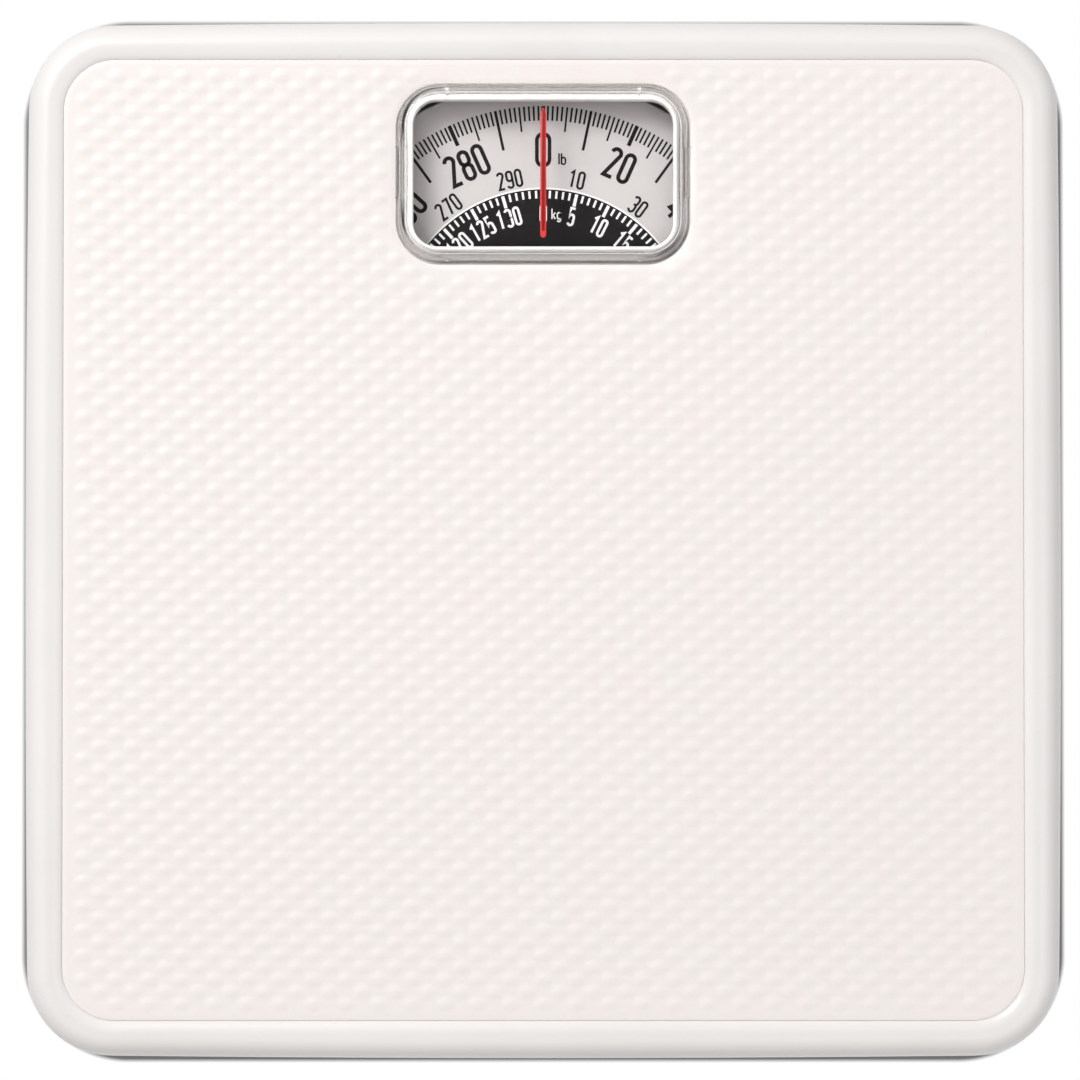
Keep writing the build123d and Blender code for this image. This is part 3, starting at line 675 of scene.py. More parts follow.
@dataclass
class Cover:
    """Pressed cover: skirt, rolled rim, recess, window collar and two spring lugs."""

    half: float = 130 * MM
    corner: float = 22 * MM
    low: float = 14 * MM
    high: float = 46 * MM
    draft: float = math.radians(1.5)
    roll_out: float = 5.6 * MM
    roll_up: float = 7.0 * MM
    recess_half: float = 120 * MM
    recess_corner: float = 13 * MM
    floor: float = 43.5 * MM
    sheet: float = 1.0 * MM
    window: Tuple[float, float, float, float] = (32.5 * MM, 18.3 * MM, 6 * MM, 91.3 * MM)
    lug_x: float = 114 * MM
    bow: float = 0.62 * MM
    slope_drop: float = 1.9 * MM
    slope_arc: float = 72.0

    def side(self, z: float) -> float:
        """Half of the cover's width at a height of its skirt."""
        return self.half - math.tan(self.draft) * (z - self.low)

    def outer(self, half: float, z: float) -> List[Point]:
        """A ring of the skirt or the outer roll, whose sides bow out towards their middle."""
        ring = rounded_ring(half, half, self.corner - (self.half - half), z, steps=16, inner=9)
        reach = self.half - self.corner
        room = min(self.bow, self.half - half) if z < self.high - 0.1 * MM else self.bow
        bowed = []
        for x, y, height in ring:
            if abs(x) > reach and abs(y) < reach:
                x += math.copysign(room * (1 - (y / reach) ** 2), x)
            elif abs(y) > reach and abs(x) < reach:
                y += math.copysign(room * (1 - (x / reach) ** 2), y)
            bowed.append((x, y, height))
        return bowed

    def inner(self, half: float, z: float) -> List[Point]:
        """A ring of the inner slope of the rim or the recess."""
        crest = self.side(self.high) - self.roll_out
        crest_corner = self.corner - (self.half - crest)
        share = (half - self.recess_half) / (crest - self.recess_half)
        corner = self.recess_corner + (crest_corner - self.recess_corner) * share
        return rounded_ring(half, half, corner, z, steps=16, inner=9)

    def frame(self, grow: float, z: float) -> List[Point]:
        """A ring round the window."""
        half_x, half_y, corner, y = self.window
        return rounded_ring(half_x + grow, half_y + grow, corner + grow, z, y, steps=16, inner=9)

    def outside(self) -> List[List[Point]]:
        """Rings from the skirt's edge over the rim to the window."""
        rings = [self.outer(self.half - 0.2 * MM, self.low),
                 self.outer(self.half, self.low + 0.2 * MM)]
        rings += [self.outer(self.side(z * MM), z * MM) for z in (18, 26, 34, 37.5)]
        start = self.high - self.roll_up
        crest = self.side(self.high) - self.roll_out
        edge = self.side(start)
        for i in range(13):
            angle = math.radians(90 * i / 12)
            rings.append(self.outer(crest + (edge - crest) * math.cos(angle),
                                    start + self.roll_up * math.sin(angle)))
        slope = crest - self.recess_half
        for i in range(1, 11):
            angle = math.radians(self.slope_arc * i / 10)
            rings.append(self.inner(crest - slope * math.sin(angle) / math.sin(math.radians(self.slope_arc)),
                                    self.high - self.slope_drop * (1 - math.cos(angle))))
        rings += [self.inner(self.recess_half, self.floor + 0.3 * MM),
                  self.inner(self.recess_half - 0.3 * MM, self.floor),
                  self.inner(self.recess_half - 1 * MM, self.floor)]
        collar = ((4.0, 0), (1.7, 0), (1.3, 0.12), (1.08, 0.4), (1.0, 0.8), (1.0, 3.1),
                  (0.9, 3.36), (0.7, 3.5))
        rings += [self.frame(grow * MM, self.floor + up * MM) for grow, up in collar]
        return rings

    def inside(self) -> List[List[Point]]:
        """Rings from the window back under the recess and down the skirt's inner face."""
        collar = ((0.3, 47.0), (0.1, 46.86), (0.0, 46.6), (0.0, 43.1), (0.15, 42.6), (0.6, 42.5), (3.0, 42.5))
        rings = [self.frame(grow * MM, z * MM) for grow, z in collar]
        under = self.floor - self.sheet
        rings += [self.inner(self.recess_half, under),
                  self.inner(self.recess_half + self.sheet, under + 0.3 * MM)]
        rings += [self.inner(half * MM, z * MM) for half, z in ((121.1, 43.5), (121.8, 44.3), (122.8, 44.8))]
        start = self.high - self.roll_up
        crest = self.side(self.high) - self.roll_out
        edge = self.side(start) - self.sheet
        for i in range(9):
            angle = math.radians(90 - 90 * i / 8)
            rings.append(self.outer(crest + (edge - crest) * math.cos(angle),
                                    start + (self.roll_up - self.sheet) * math.sin(angle)))
        rings += [self.outer(self.side(z * MM) - self.sheet, z * MM) for z in (30, 20, 14.2)]
        rings.append(self.outer(self.side(self.low) - self.sheet + 0.2 * MM, self.low))
        return rings

    def build(self) -> None:
        """Make the cover with its lugs and hang it on the platform."""
        skin = Skin()
        skin.loft(self.outside() + self.inside(), closed=True)
        for side in (-1, 1):
            rings = []
            for grow, z in ((-0.5, 39.5), (0.0, 40.0), (0.0, 41.8), (0.5, 42.45), (0.5, 42.6)):
                ring = rounded_ring((2 + grow) * MM, (5 + grow) * MM, 0.9 * MM, z * MM, steps=4)
                rings.append([(x + side * self.lug_x, y, height) for x, y, height in ring])
            numbers = skin.loft(rings)
            skin.cap(numbers[0], False)
            skin.cap(numbers[-1], True)
        add_piece("enamel_cover", skin.points, skin.faces, Finishes.COVER, "platform",
                  ["platform_cover"])


@dataclass
class PebbledMat:
    """Vinyl mat with soft oval pebbles, cut out round the lens."""

    half: float = 119.95 * MM
    corner: float = 12.95 * MM
    cut: Tuple[float, float, float, float] = (36.95 * MM, 22.75 * MM, 11.15 * MM, 91.3 * MM)
    low: float = 43.5 * MM
    top: float = 45.1 * MM
    cell: float = 0.62 * MM
    pebble_x: float = 2.35 * MM
    pebble_y: float = 1.75 * MM
    pebble_height: float = 0.34 * MM
    pebble_power: float = 1.1
    pitch_x: float = 8.2 * MM
    pitch_y: float = 3.05 * MM
    edge_margin: float = 2.6 * MM
    edge_drop: float = 0.2 * MM

    @staticmethod
    def rounded(x: np.ndarray, y: np.ndarray, half_x: float, half_y: float, corner: float) -> np.ndarray:
        """Signed distance to a rectangle with round corners, negative inside."""
        qx = np.abs(x) - (half_x - corner)
        qy = np.abs(y) - (half_y - corner)
        outside = np.hypot(np.maximum(qx, 0), np.maximum(qy, 0))
        return outside + np.minimum(np.maximum(qx, qy), 0) - corner

    def distance(self, x: np.ndarray, y: np.ndarray) -> np.ndarray:
        """Signed distance to the mat's outline, negative on the mat."""
        cut_x, cut_y, cut_corner, cut_place = self.cut
        return np.maximum(self.rounded(x, y, self.half, self.half, self.corner),
                          -self.rounded(x, y - cut_place, cut_x, cut_y, cut_corner))

    def relief(self, x: np.ndarray, y: np.ndarray) -> np.ndarray:
        """Height of the pebbles above the flat ground.

        Args:
            x: Places along X.
            y: Places along Y.

        Returns:
            The heights.
        """
        row = np.round(y / self.pitch_y)
        height = np.zeros_like(x)
        for step in (-1, 0, 1):
            here = row + step
            shift = np.where(np.mod(here, 2) == 0, 0.0, self.pitch_x / 2)
            centre_x = np.round((x - shift) / self.pitch_x) * self.pitch_x + shift
            centre_y = here * self.pitch_y
            reach = np.hypot((x - centre_x) / self.pebble_x, (y - centre_y) / self.pebble_y)
            whole = self.distance(centre_x, centre_y) < -self.edge_margin
            dome = np.where(whole, np.maximum(1 - reach ** 2, 0.0) ** self.pebble_power, 0.0)
            height = np.maximum(height, dome)
        return height * self.pebble_height

    def snap(self, x: np.ndarray, y: np.ndarray, border: np.ndarray) -> Tuple[np.ndarray, np.ndarray]:
        """Move the border points of the grid onto the mat's outline.

        Args:
            x: Places along X.
            y: Places along Y.
            border: Where the points of the border are.

        Returns:
            The moved places.
        """
        tiny = 0.01 * MM
        for _ in range(3):
            far = self.distance(x, y)
            gx = (self.distance(x + tiny, y) - self.distance(x - tiny, y)) / (2 * tiny)
            gy = (self.distance(x, y + tiny) - self.distance(x, y - tiny)) / (2 * tiny)
            x = np.where(border, x - far * gx, x)
            y = np.where(border, y - far * gy, y)
        return x, y

    def close(self, mesh: bmesh.types.BMesh) -> None:
        """Close the mat's top with walls and an underside."""
        rim = [edge for edge in mesh.edges if edge.is_boundary]
        below: Dict[Any, Any] = {}
        for vertex in dict.fromkeys(v for edge in rim for v in edge.verts):
            below[vertex] = mesh.verts.new((vertex.co.x, vertex.co.y, self.low))
        lower = []
        for edge in rim:
            loop = edge.link_loops[0]
            a, b = loop.vert, loop.link_loop_next.vert
            mesh.faces.new([b, a, below[a], below[b]])
            lower.append(mesh.edges.get([below[a], below[b]]))
        bmesh.ops.triangle_fill(mesh, edges=lower, normal=Vector((0, 0, -1)))

    def build(self) -> None:
        """Make the mat from a fine grid and snap its border to the outline."""
        count = int(math.ceil(2 * self.half / self.cell)) + 2
        line = (np.arange(count) - (count - 1) / 2) * self.cell
        x, y = np.meshgrid(line, line, indexing="ij")
        middle = self.distance((x[1:, 1:] + x[:-1, :-1]) / 2, (y[1:, 1:] + y[:-1, :-1]) / 2)
        kept = middle < -0.15 * self.cell
        number = np.arange(count * count).reshape(count, count)
        quads = np.stack([number[:-1, :-1], number[1:, :-1], number[1:, 1:], number[:-1, 1:]], -1)[kept]
        touching = np.zeros((count, count), int)
        for dx in (0, 1):
            for dy in (0, 1):
                touching[dx:count - 1 + dx, dy:count - 1 + dy] += kept
        x, y = self.snap(x, y, (touching > 0) & (touching < 4))
        far = self.distance(x, y)
        z = self.top + self.relief(x, y) - self.edge_drop * np.clip(1 + far / (1.2 * self.cell), 0, 1) ** 2
        mesh = bmesh.new()
        used = np.flatnonzero(touching.ravel() > 0)
        index = np.full(count * count, -1)
        index[used] = np.arange(len(used))
        tops = [mesh.verts.new(p) for p in zip(x.ravel()[used], y.ravel()[used], z.ravel()[used])]
        for quad in index[quads]:
            mesh.faces.new([tops[i] for i in quad])
        self.close(mesh)
        mesh.verts.index_update()
        points = [tuple(v.co) for v in mesh.verts]
        faces = [tuple(v.index for v in face.verts) for face in mesh.faces]
        mesh.free()
        add_piece("pebbled_mat", points, faces, Finishes.MAT, "platform", ["tread_mat"])


def apply_union(piece: bpy.types.Object, other: bpy.types.Object) -> None:
    """Join a second solid into a piece and delete it.

    Args:
        piece: The piece that grows.
        other: The solid that is joined and deleted.
    """
    modifier = piece.modifiers.new("union", "BOOLEAN")
    modifier.operation = "UNION"
    modifier.solver = "EXACT"
    modifier.object = other
    bpy.context.view_layer.update()
    graph = bpy.context.evaluated_depsgraph_get()
    mesh = bpy.data.meshes.new_from_object(piece.evaluated_get(graph))
    piece.modifiers.clear()
    piece.data = mesh
    bpy.data.objects.remove(other)


@dataclass
class LensCap:
    """Clear cap over the window, with the rib that carries the pointer."""

    half_x: float = 36.8 * MM
    half_y: float = 22.6 * MM
    corner: float = 11 * MM
    y: float = 91.3 * MM
    low: float = 43.5 * MM
    height: float = 7 * MM
    lean: float = 1.6 * MM
    wall: float = 1.2 * MM
    foot: float = 2.3 * MM
    edge: float = 1.1 * MM
    rib_width: float = 0.8 * MM
    pointer_width: float = 1.5 * MM
    pointer_rear: float = 107.7 * MM
    pointer_length: float = 32.4 * MM
    pointer_low: float = 45.7 * MM
    pointer_high: float = 46.3 * MM
    ear_y: float = 91.6 * MM
    ear_half: float = 6.4 * MM
    ear_bars: Tuple[Tuple[float, float, float, float], ...] = (
        (35.9 * MM, 1.35 * MM, 45.25 * MM, 46.9 * MM), (34.7 * MM, 0.7 * MM, 43.7 * MM, 47.6 * MM))
    snap_x: float = 24 * MM
    snap_inset: float = 1.85 * MM
    snap_half: Flat = (0.4 * MM, 0.95 * MM)
    snap_span: Flat = (43.6 * MM, 47.8 * MM)
    point: float = 1.6 * MM
    soft: float = 0.12 * MM

    def ring(self, grow: float, z: float) -> List[Point]:
        """A ring of the cap, leaning inward with its height."""
        inset = self.lean * (z - self.low) / self.height - grow
        return rounded_ring(self.half_x - inset, self.half_y - inset, self.corner - inset,
                            z, self.y, steps=14)

    def fillet(self, grow: float, top: float, radius: float) -> List[List[Point]]:
        """Rings round the edge of a flat top, from the wall to the top."""
        return [self.ring(grow - radius * (1 - math.cos(a)), top - radius * (1 - math.sin(a)))
                for a in (math.radians(90 * i / 6) for i in range(7))]

    @staticmethod
    def bar(x: float, y: float, half_x: float, half_y: float, low: float, high: float) -> bpy.types.Object:
        """A small upright bar with round corners, to be joined into the cap.

        Args:
            x: Its middle along X.
            y: Its middle along Y.
            half_x: Half of its width.
            half_y: Half of its length.
            low: Its underside.
            high: Its top.

        Returns:
            The bar.
        """
        skin = Skin()
        rings = [rounded_ring(half_x, half_y, 0.25 * MM, z, y, steps=4) for z in (low, high)]
        numbers = skin.loft([[(px + x, py, pz) for px, py, pz in ring] for ring in rings])
        skin.cap(numbers[0], False)
        skin.cap(numbers[-1], True)
        mesh = bpy.data.meshes.new("bar")
        mesh.from_pydata(skin.points, [], skin.faces)
        bar = bpy.data.objects.new("bar", mesh)
        bpy.context.scene.collection.objects.link(bar)
        return bar

    def cap(self) -> None:
        """Make the cap with its rib, its ears and its snap ribs as one solid."""
        skin = Skin()
        top = self.low + self.height
        inner_top = top - self.wall
        rings = [self.ring(-self.wall - 1.6 * MM, inner_top)]
        rings += self.fillet(-self.wall, inner_top, 0.7 * MM)[::-1]
        rings += [self.ring(-self.foot, self.low), self.ring(0, self.low)]
        rings += self.fillet(0, top, self.edge) + [self.ring(-self.edge - 0.8 * MM, top)]
        numbers = skin.loft(rings)
        skin.cap(numbers[0], False)
        skin.cap(numbers[-1], True)
        piece = add_piece("lens_cap", skin.points, skin.faces, Finishes.LENS, "platform", ["lens"])
        front = self.pointer_rear - self.pointer_length + self.pointer_width
        rear = self.pointer_rear - self.pointer_width / 2
        apply_union(piece, self.bar(0, (front + rear) / 2, self.rib_width / 2, (rear - front) / 2,
                                    self.pointer_high, inner_top + 0.4 * MM))
        for side in (-1, 1):
            for x, half, low, high in self.ear_bars:
                apply_union(piece, self.bar(side * x, self.ear_y, half, self.ear_half, low, high))
            for end in (-1, 1):
                snap_y = self.y + end * (self.half_y - self.snap_inset)
                apply_union(piece, self.bar(side * self.snap_x, snap_y, *self.snap_half, *self.snap_span))

    def pointer(self) -> None:
        """Make the pointer strip with its pointed rear end."""
        half = self.pointer_width / 2
        front = self.pointer_rear - self.pointer_length
        rings = []
        for inset, z in ((self.soft, self.pointer_low), (0, self.pointer_low + 0.1 * MM),
                         (0, self.pointer_high - 0.1 * MM), (self.soft, self.pointer_high)):
            side = half - inset
            outline = [(side, self.pointer_rear - self.point), (side / 3, self.pointer_rear - inset),
                       (-side / 3, self.pointer_rear - inset), (-side, self.pointer_rear - self.point)]
            for i in range(9):
                angle = math.radians(180 + 180 * i / 8)
                outline.append((side * math.cos(angle), front + half + side * math.sin(angle)))
            rings.append([(px, py, z) for px, py in outline])
        skin = Skin()
        numbers = skin.loft(rings)
        skin.cap(numbers[0], False)
        skin.cap(numbers[-1], True)
        add_piece("pointer_strip", skin.points, skin.faces, Finishes.POINTER, "platform",
                  ["pointer"])

    def build(self) -> None:
        """Make the cap and the pointer."""
        self.cap()
        self.pointer()


class Glyphs:
    """Condensed signs, each as centre lines in a box of a given width and height."""

    @staticmethod
    def arc(x: float, y: float, radius: float, start: float, end: float) -> List[Flat]:
        """Points along an arc, in degrees."""
        steps = max(3, int(abs(end - start) / 18))
        turns = [math.radians(start + (end - start) * i / steps) for i in range(steps + 1)]
        return [(x + radius * math.cos(turn), y + radius * math.sin(turn)) for turn in turns]

    @classmethod
    def loop(cls, w: float, low: float, high: float) -> List[Flat]:
        """A closed loop with round ends, from a low to a high line."""
        r = min(w / 2, (high - low) / 2)
        points: List[Flat] = []
        corners = ((w - r, high - r, 0), (r, high - r, 90), (r, low + r, 180), (w - r, low + r, 270))
        for x, y, start in corners:
            points += cls.arc(x, y, r, start, start + 90)
        return points + points[:1]

    @classmethod
    def lines(cls, sign: str, w: float, h: float) -> List[List[Flat]]:
        """Centre lines of one sign.

        Args:
            sign: The sign.
            w: Width of its centre lines.
            h: Height of its centre lines.

        Returns:
            One list of points for each stroke.
        """
        r = w / 2
        if sign == "0":
            return [cls.loop(w, 0, h)]
        if sign == "1":
            return [[(0.1 * w, 0.83 * h), (0.62 * w, h), (0.62 * w, 0)]]
        if sign == "2":
            return [cls.arc(r, h - r, r, 175, -28) + [(0.02 * w, 0.0), (w, 0.0)]]
        if sign == "3":
            s = 0.8 * r
            return [cls.arc(r, h - r, r, 170, 0) + cls.arc(w - s, h / 2 + s, s, 0, -90) + [(0.4 * w, h / 2)],
                    [(0.4 * w, h / 2)] + cls.arc(w - s, h / 2 - s, s, 90, 0) + cls.arc(r, r, r, 0, -170)]
        if sign == "4":
            return [[(0.72 * w, 0), (0.72 * w, h), (0.0, 0.26 * h), (1.05 * w, 0.26 * h)]]
        if sign == "5":
            return [[(0.95 * w, h), (0.08 * w, h), (0.05 * w, 0.5 * h)]
                    + cls.arc(r, 0.62 * h - r, r, 150, 0) + cls.arc(r, r, r, 0, -168)]
        if sign == "6":
            return [cls.arc(r, h - r, r, 8, 180) + cls.arc(r, r, r, 180, 360)
                    + cls.arc(r, 0.58 * h - r, r, 0, 180)]
        if sign == "7":
            return [[(0.0, h), (w, h), (0.36 * w, 0)]]
        if sign == "8":
            return [cls.loop(w, 0, 0.53 * h), cls.loop(w, 0.53 * h, h)]
        if sign == "9":
            return [[(w - x, h - y) for x, y in line] for line in cls.lines("6", w, h)]
        if sign == "l":
            return [[(0.5 * w, 0), (0.5 * w, h)]]
        if sign == "b":
            return [[(0, 0), (0, h)], cls.loop(w, 0, 0.62 * h)]
        if sign == "k":
            return [[(0, 0), (0, h)], [(w, 0.62 * h), (0, 0.22 * h)], [(0.3 * w, 0.36 * h), (w, 0)]]
        if sign == "g":
            return [cls.loop(w, 0, 0.62 * h),
                    [(w, 0.62 * h), (w, -0.1 * h)] + cls.arc(r, -0.1 * h, r, 0, -165)]
        return []


@dataclass
class PrintLayer:
    """A thin layer of ink on the dial, gathered stroke by stroke."""

    level: float
    thickness: float = 0.03 * MM

    def __post_init__(self) -> None:
        """Start with no strokes."""
        self.skin = Skin()

    def stroke(self, line: Sequence[Flat], width: float, place: Callable[[float, float], Flat]) -> None:
        """Widen a centre line into ink.

        Args:
            line: Its points.
            width: Width of the stroke.
            place: Moves a point of the sign to the dial.
        """
        points = [Vector(p) for i, p in enumerate(line) if i == 0 or Vector(p) != Vector(line[i - 1])]
        points = [p for i, p in enumerate(points) if i == 0 or (p - points[i - 1]).length > 1e-6]
        closed = len(points) > 3 and (points[0] - points[-1]).length < 1e-6
        if closed:
            points = points[:-1]
        count = len(points)
        left, right = [], []
        for i, here in enumerate(points):
            back = points[i - 1] if closed or i > 0 else None
            ahead = points[(i + 1) % count] if closed or i < count - 1 else None
            first = (here - back).normalized() if back is not None else None
            second = (ahead - here).normalized() if ahead is not None else None
            first = first if first is not None else second
            second = second if second is not None else first
            normal = Vector((-first.y - second.y, first.x + second.x)).normalized()
            spread = max(0.45, normal.dot(Vector((-first.y, first.x))))
            left.append(here + normal * (width / 2 / spread))
            right.append(here - normal * (width / 2 / spread))
        runs = count if closed else count - 1
        top = self.level + self.thickness
        for i in range(runs):
            j = (i + 1) % count
            corners = [place(*p) for p in (right[i], right[j], left[j], left[i])]
            high = self.skin.ring([(x, y, top) for x, y in corners])
            low = self.skin.ring([(x, y, self.level) for x, y in corners])
            self.skin.faces.append(tuple(high))
            self.skin.faces += [(low[0], low[1], high[1], high[0]), (low[2], low[3], high[3], high[2])]
            if not closed and i == 0:
                self.skin.faces.append((low[3], low[0], high[0], high[3]))
            if not closed and i == runs - 1:
                self.skin.faces.append((low[1], low[2], high[2], high[1]))

    def band(self, inner: float, outer: float, x: float, y: float) -> None:
        """A ring, or a disc where its inner radius is nothing.

        Args:
            inner: Inner radius.
            outer: Outer radius.
            x: Centre along X.
            y: Centre along Y.
        """
        top = self.level + self.thickness
        steps = 180
        turn = [2 * math.pi * k / steps for k in range(steps)]
        rings = [[(x + r * math.cos(a), y + r * math.sin(a), z) for a in turn]
                 for r, z in ((outer, self.level), (outer, top), (inner, top), (inner, self.level)) if r > 0]
        numbers = self.skin.loft(rings, closed=inner > 0)
        if not inner > 0:
            self.skin.cap(numbers[0], False)
            self.skin.cap(numbers[-1], True)


@dataclass(frozen=True)
class Mark:
    """One kind of mark on a scale: the line's size, and the sizes of its text where it has one."""

    length: float
    width: float
    centre: float = 0.0
    height: float = 0.0
    weight: float = 0.0
    narrow: float = 0.0


@dataclass
class DialPrint:
    """Two scales printed on the dial: pounds on the pale face and kilograms on a black disc."""

    y: float = 51 * MM
    face: float = 37.0 * MM
    bore: float = 5.2 * MM
    halo_gap: float = 0.02 * MM
    halo_width: float = 0.45 * MM
    pound_edge: float = 58.35 * MM
    pounds: int = 300
    pound_zero: Mark = Mark(5.5 * MM, 1.0 * MM, 47.3 * MM, 9.0 * MM, 0.95 * MM, 0.46)
    pound_twenty: Mark = Mark(5.5 * MM, 1.0 * MM, 47.4 * MM, 8.2 * MM, 1.0 * MM, 0.4)
    pound_ten: Mark = Mark(10.2 * MM, 0.7 * MM, 40.6 * MM, 4.7 * MM, 0.6 * MM, 0.415)
    pound_five: Mark = Mark(6.3 * MM, 0.48 * MM)
    pound_one: Mark = Mark(3.7 * MM, 0.5 * MM)
    pound_unit: Mark = Mark(0.0, 0.0, 45.0 * MM, 3.2 * MM, 0.42 * MM, 0.44)
    pound_unit_shift: float = 4.8 * MM
    kilo_edge: float = 37.3 * MM
    kilo_inset: float = 0.35 * MM
    kilo_per_pound: float = 0.45359237
    kilos: int = 136
    kilo_five: Mark = Mark(3.1 * MM, 0.8 * MM, 31.2 * MM, 4.9 * MM, 0.62 * MM, 0.38)
    kilo_one: Mark = Mark(1.9 * MM, 0.55 * MM)
    kilo_unit: Mark = Mark(0.0, 0.0, 31.1 * MM, 2.9 * MM, 0.34 * MM, 0.4)
    kilo_unit_shift: float = 3.3 * MM

    def spot(self, angle: float, radius: float, x: float = 0.0) -> Callable[[float, float], Flat]:
        """Moves points of a sign to its place on the dial.

        Args:
            angle: Clockwise angle from the rear, in degrees.
            radius: Radius of the sign's base line.
            x: Shift along the base line.

        Returns:
            The function that moves a point.
        """
        turn = math.radians(angle)
        c, s = math.cos(turn), math.sin(turn)

        def place(px: float, py: float) -> Flat:
            """Turn one point round the dial's centre."""
            across, out = px + x, py + radius
            return across * c + out * s, self.y - across * s + out * c
        return place

    def write(self, layer: PrintLayer, text: str, angle: float, mark: Mark, shift: float = 0.0) -> None:
        """Print a number or a unit, standing outward.

        Args:
            layer: Ink layer.
            text: What is printed.
            angle: Clockwise angle from the rear, in degrees.
            mark: Its sizes.
            shift: Shift of its middle along the base line.
        """
        tall = mark.height - mark.weight
        widths = [0.0 if sign == "l" else mark.narrow * mark.height - mark.weight for sign in text]
        gap = mark.weight + 0.065 * mark.height
        left = shift - (sum(widths) + gap * (len(text) - 1)) / 2
        for sign, width in zip(text, widths):
            place = self.spot(angle, mark.centre - tall / 2, left)
            for line in Glyphs.lines(sign, width, tall):
                layer.stroke(line, mark.weight, place)
            left += width + gap

    def print_mark(self, layer: PrintLayer, text: str, angle: float, outer: float, mark: Mark) -> None:
        """Print one radial line, and its number where the mark has one.

        Args:
            layer: Ink layer.
            text: The number.
            angle: Clockwise angle from the rear, in degrees.
            outer: Radius of the line's outer end.
            mark: Its sizes.
        """
        layer.stroke([(0, -mark.length), (0, 0)], mark.width, self.spot(angle, outer))
        if mark.height > 0:
            self.write(layer, text, angle, mark)

    def pound_mark(self, pound: int) -> Mark:
        """The kind of mark that a pound has."""
        if pound == 0:
            return self.pound_zero
        for step, mark in ((20, self.pound_twenty), (10, self.pound_ten), (5, self.pound_five)):
            if pound % step == 0:
                return mark
        return self.pound_one

    def pound_scale(self, layer: PrintLayer) -> None:
        """Print the lines and numbers of the outer scale."""
        for pound in range(self.pounds):
            angle = 360.0 * pound / self.pounds
            self.print_mark(layer, str(pound), angle, self.pound_edge, self.pound_mark(pound))
        self.write(layer, "lb", 0, self.pound_unit, self.pound_unit_shift)

    def kilo_scale(self, layer: PrintLayer) -> None:
        """Print the lines and numbers of the inner scale; its last line has no room for a number."""
        step = 360.0 / (self.pounds * self.kilo_per_pound)
        start = self.kilo_edge - self.kilo_inset
        for kilo in range(self.kilos):
            mark = self.kilo_five if kilo % 5 == 0 and kilo < self.kilos - 1 else self.kilo_one
            self.print_mark(layer, str(kilo), kilo * step, start, mark)
        self.write(layer, "kg", 0, self.kilo_unit, self.kilo_unit_shift)

    def build(self) -> None:
        """Print every layer and hang it on the dial."""
        black = PrintLayer(self.face)
        black.band(self.bore, self.kilo_edge, 0, self.y)
        halo = PrintLayer(self.face)
        halo.band(self.kilo_edge + self.halo_gap, self.kilo_edge + self.halo_width, 0, self.y)
        pounds = PrintLayer(self.face)
        self.pound_scale(pounds)
        kilos = PrintLayer(self.face + black.thickness)
        self.kilo_scale(kilos)
        layers = (("kilo_disc", black, Finishes.KILO), ("kilo_disc_halo", halo, Finishes.KILO_INK),
                  ("pound_scale", pounds, Finishes.INK), ("kilo_scale", kilos, Finishes.KILO_INK))
        for name, layer, finish in layers:
            add_piece(name, layer.skin.points, layer.skin.faces, finish, "dial", kind=Kind.FLAT)


@dataclass
class Coil:
    """A wound spring along an axis, with dead turns at its ends."""

    radius: float
    wire: float
    turns: float
    low: float
    high: float
    steps: int = 20

    def path(self) -> List[Point]:
        """Points of the wire along Z, from the low to the high end."""
        points: List[Point] = []
        count = int(self.turns * self.steps)
        start, end = self.low + self.wire, self.high - self.wire
        dead = 0.75 / self.turns
        for i in range(count + 1):
            share = i / count
            rise = min(max((share - dead) / (1 - 2 * dead), 0.0), 1.0)
            lay = self.wire * 2.05
            z = start + lay * 0.75 * min(share / dead, 1.0) + (end - start - lay * 1.5) * rise
            z += lay * 0.75 * max((share - 1 + dead) / dead, 0.0)
            angle = 2 * math.pi * share * self.turns
            points.append((self.radius * math.cos(angle), self.radius * math.sin(angle), z))
        return points


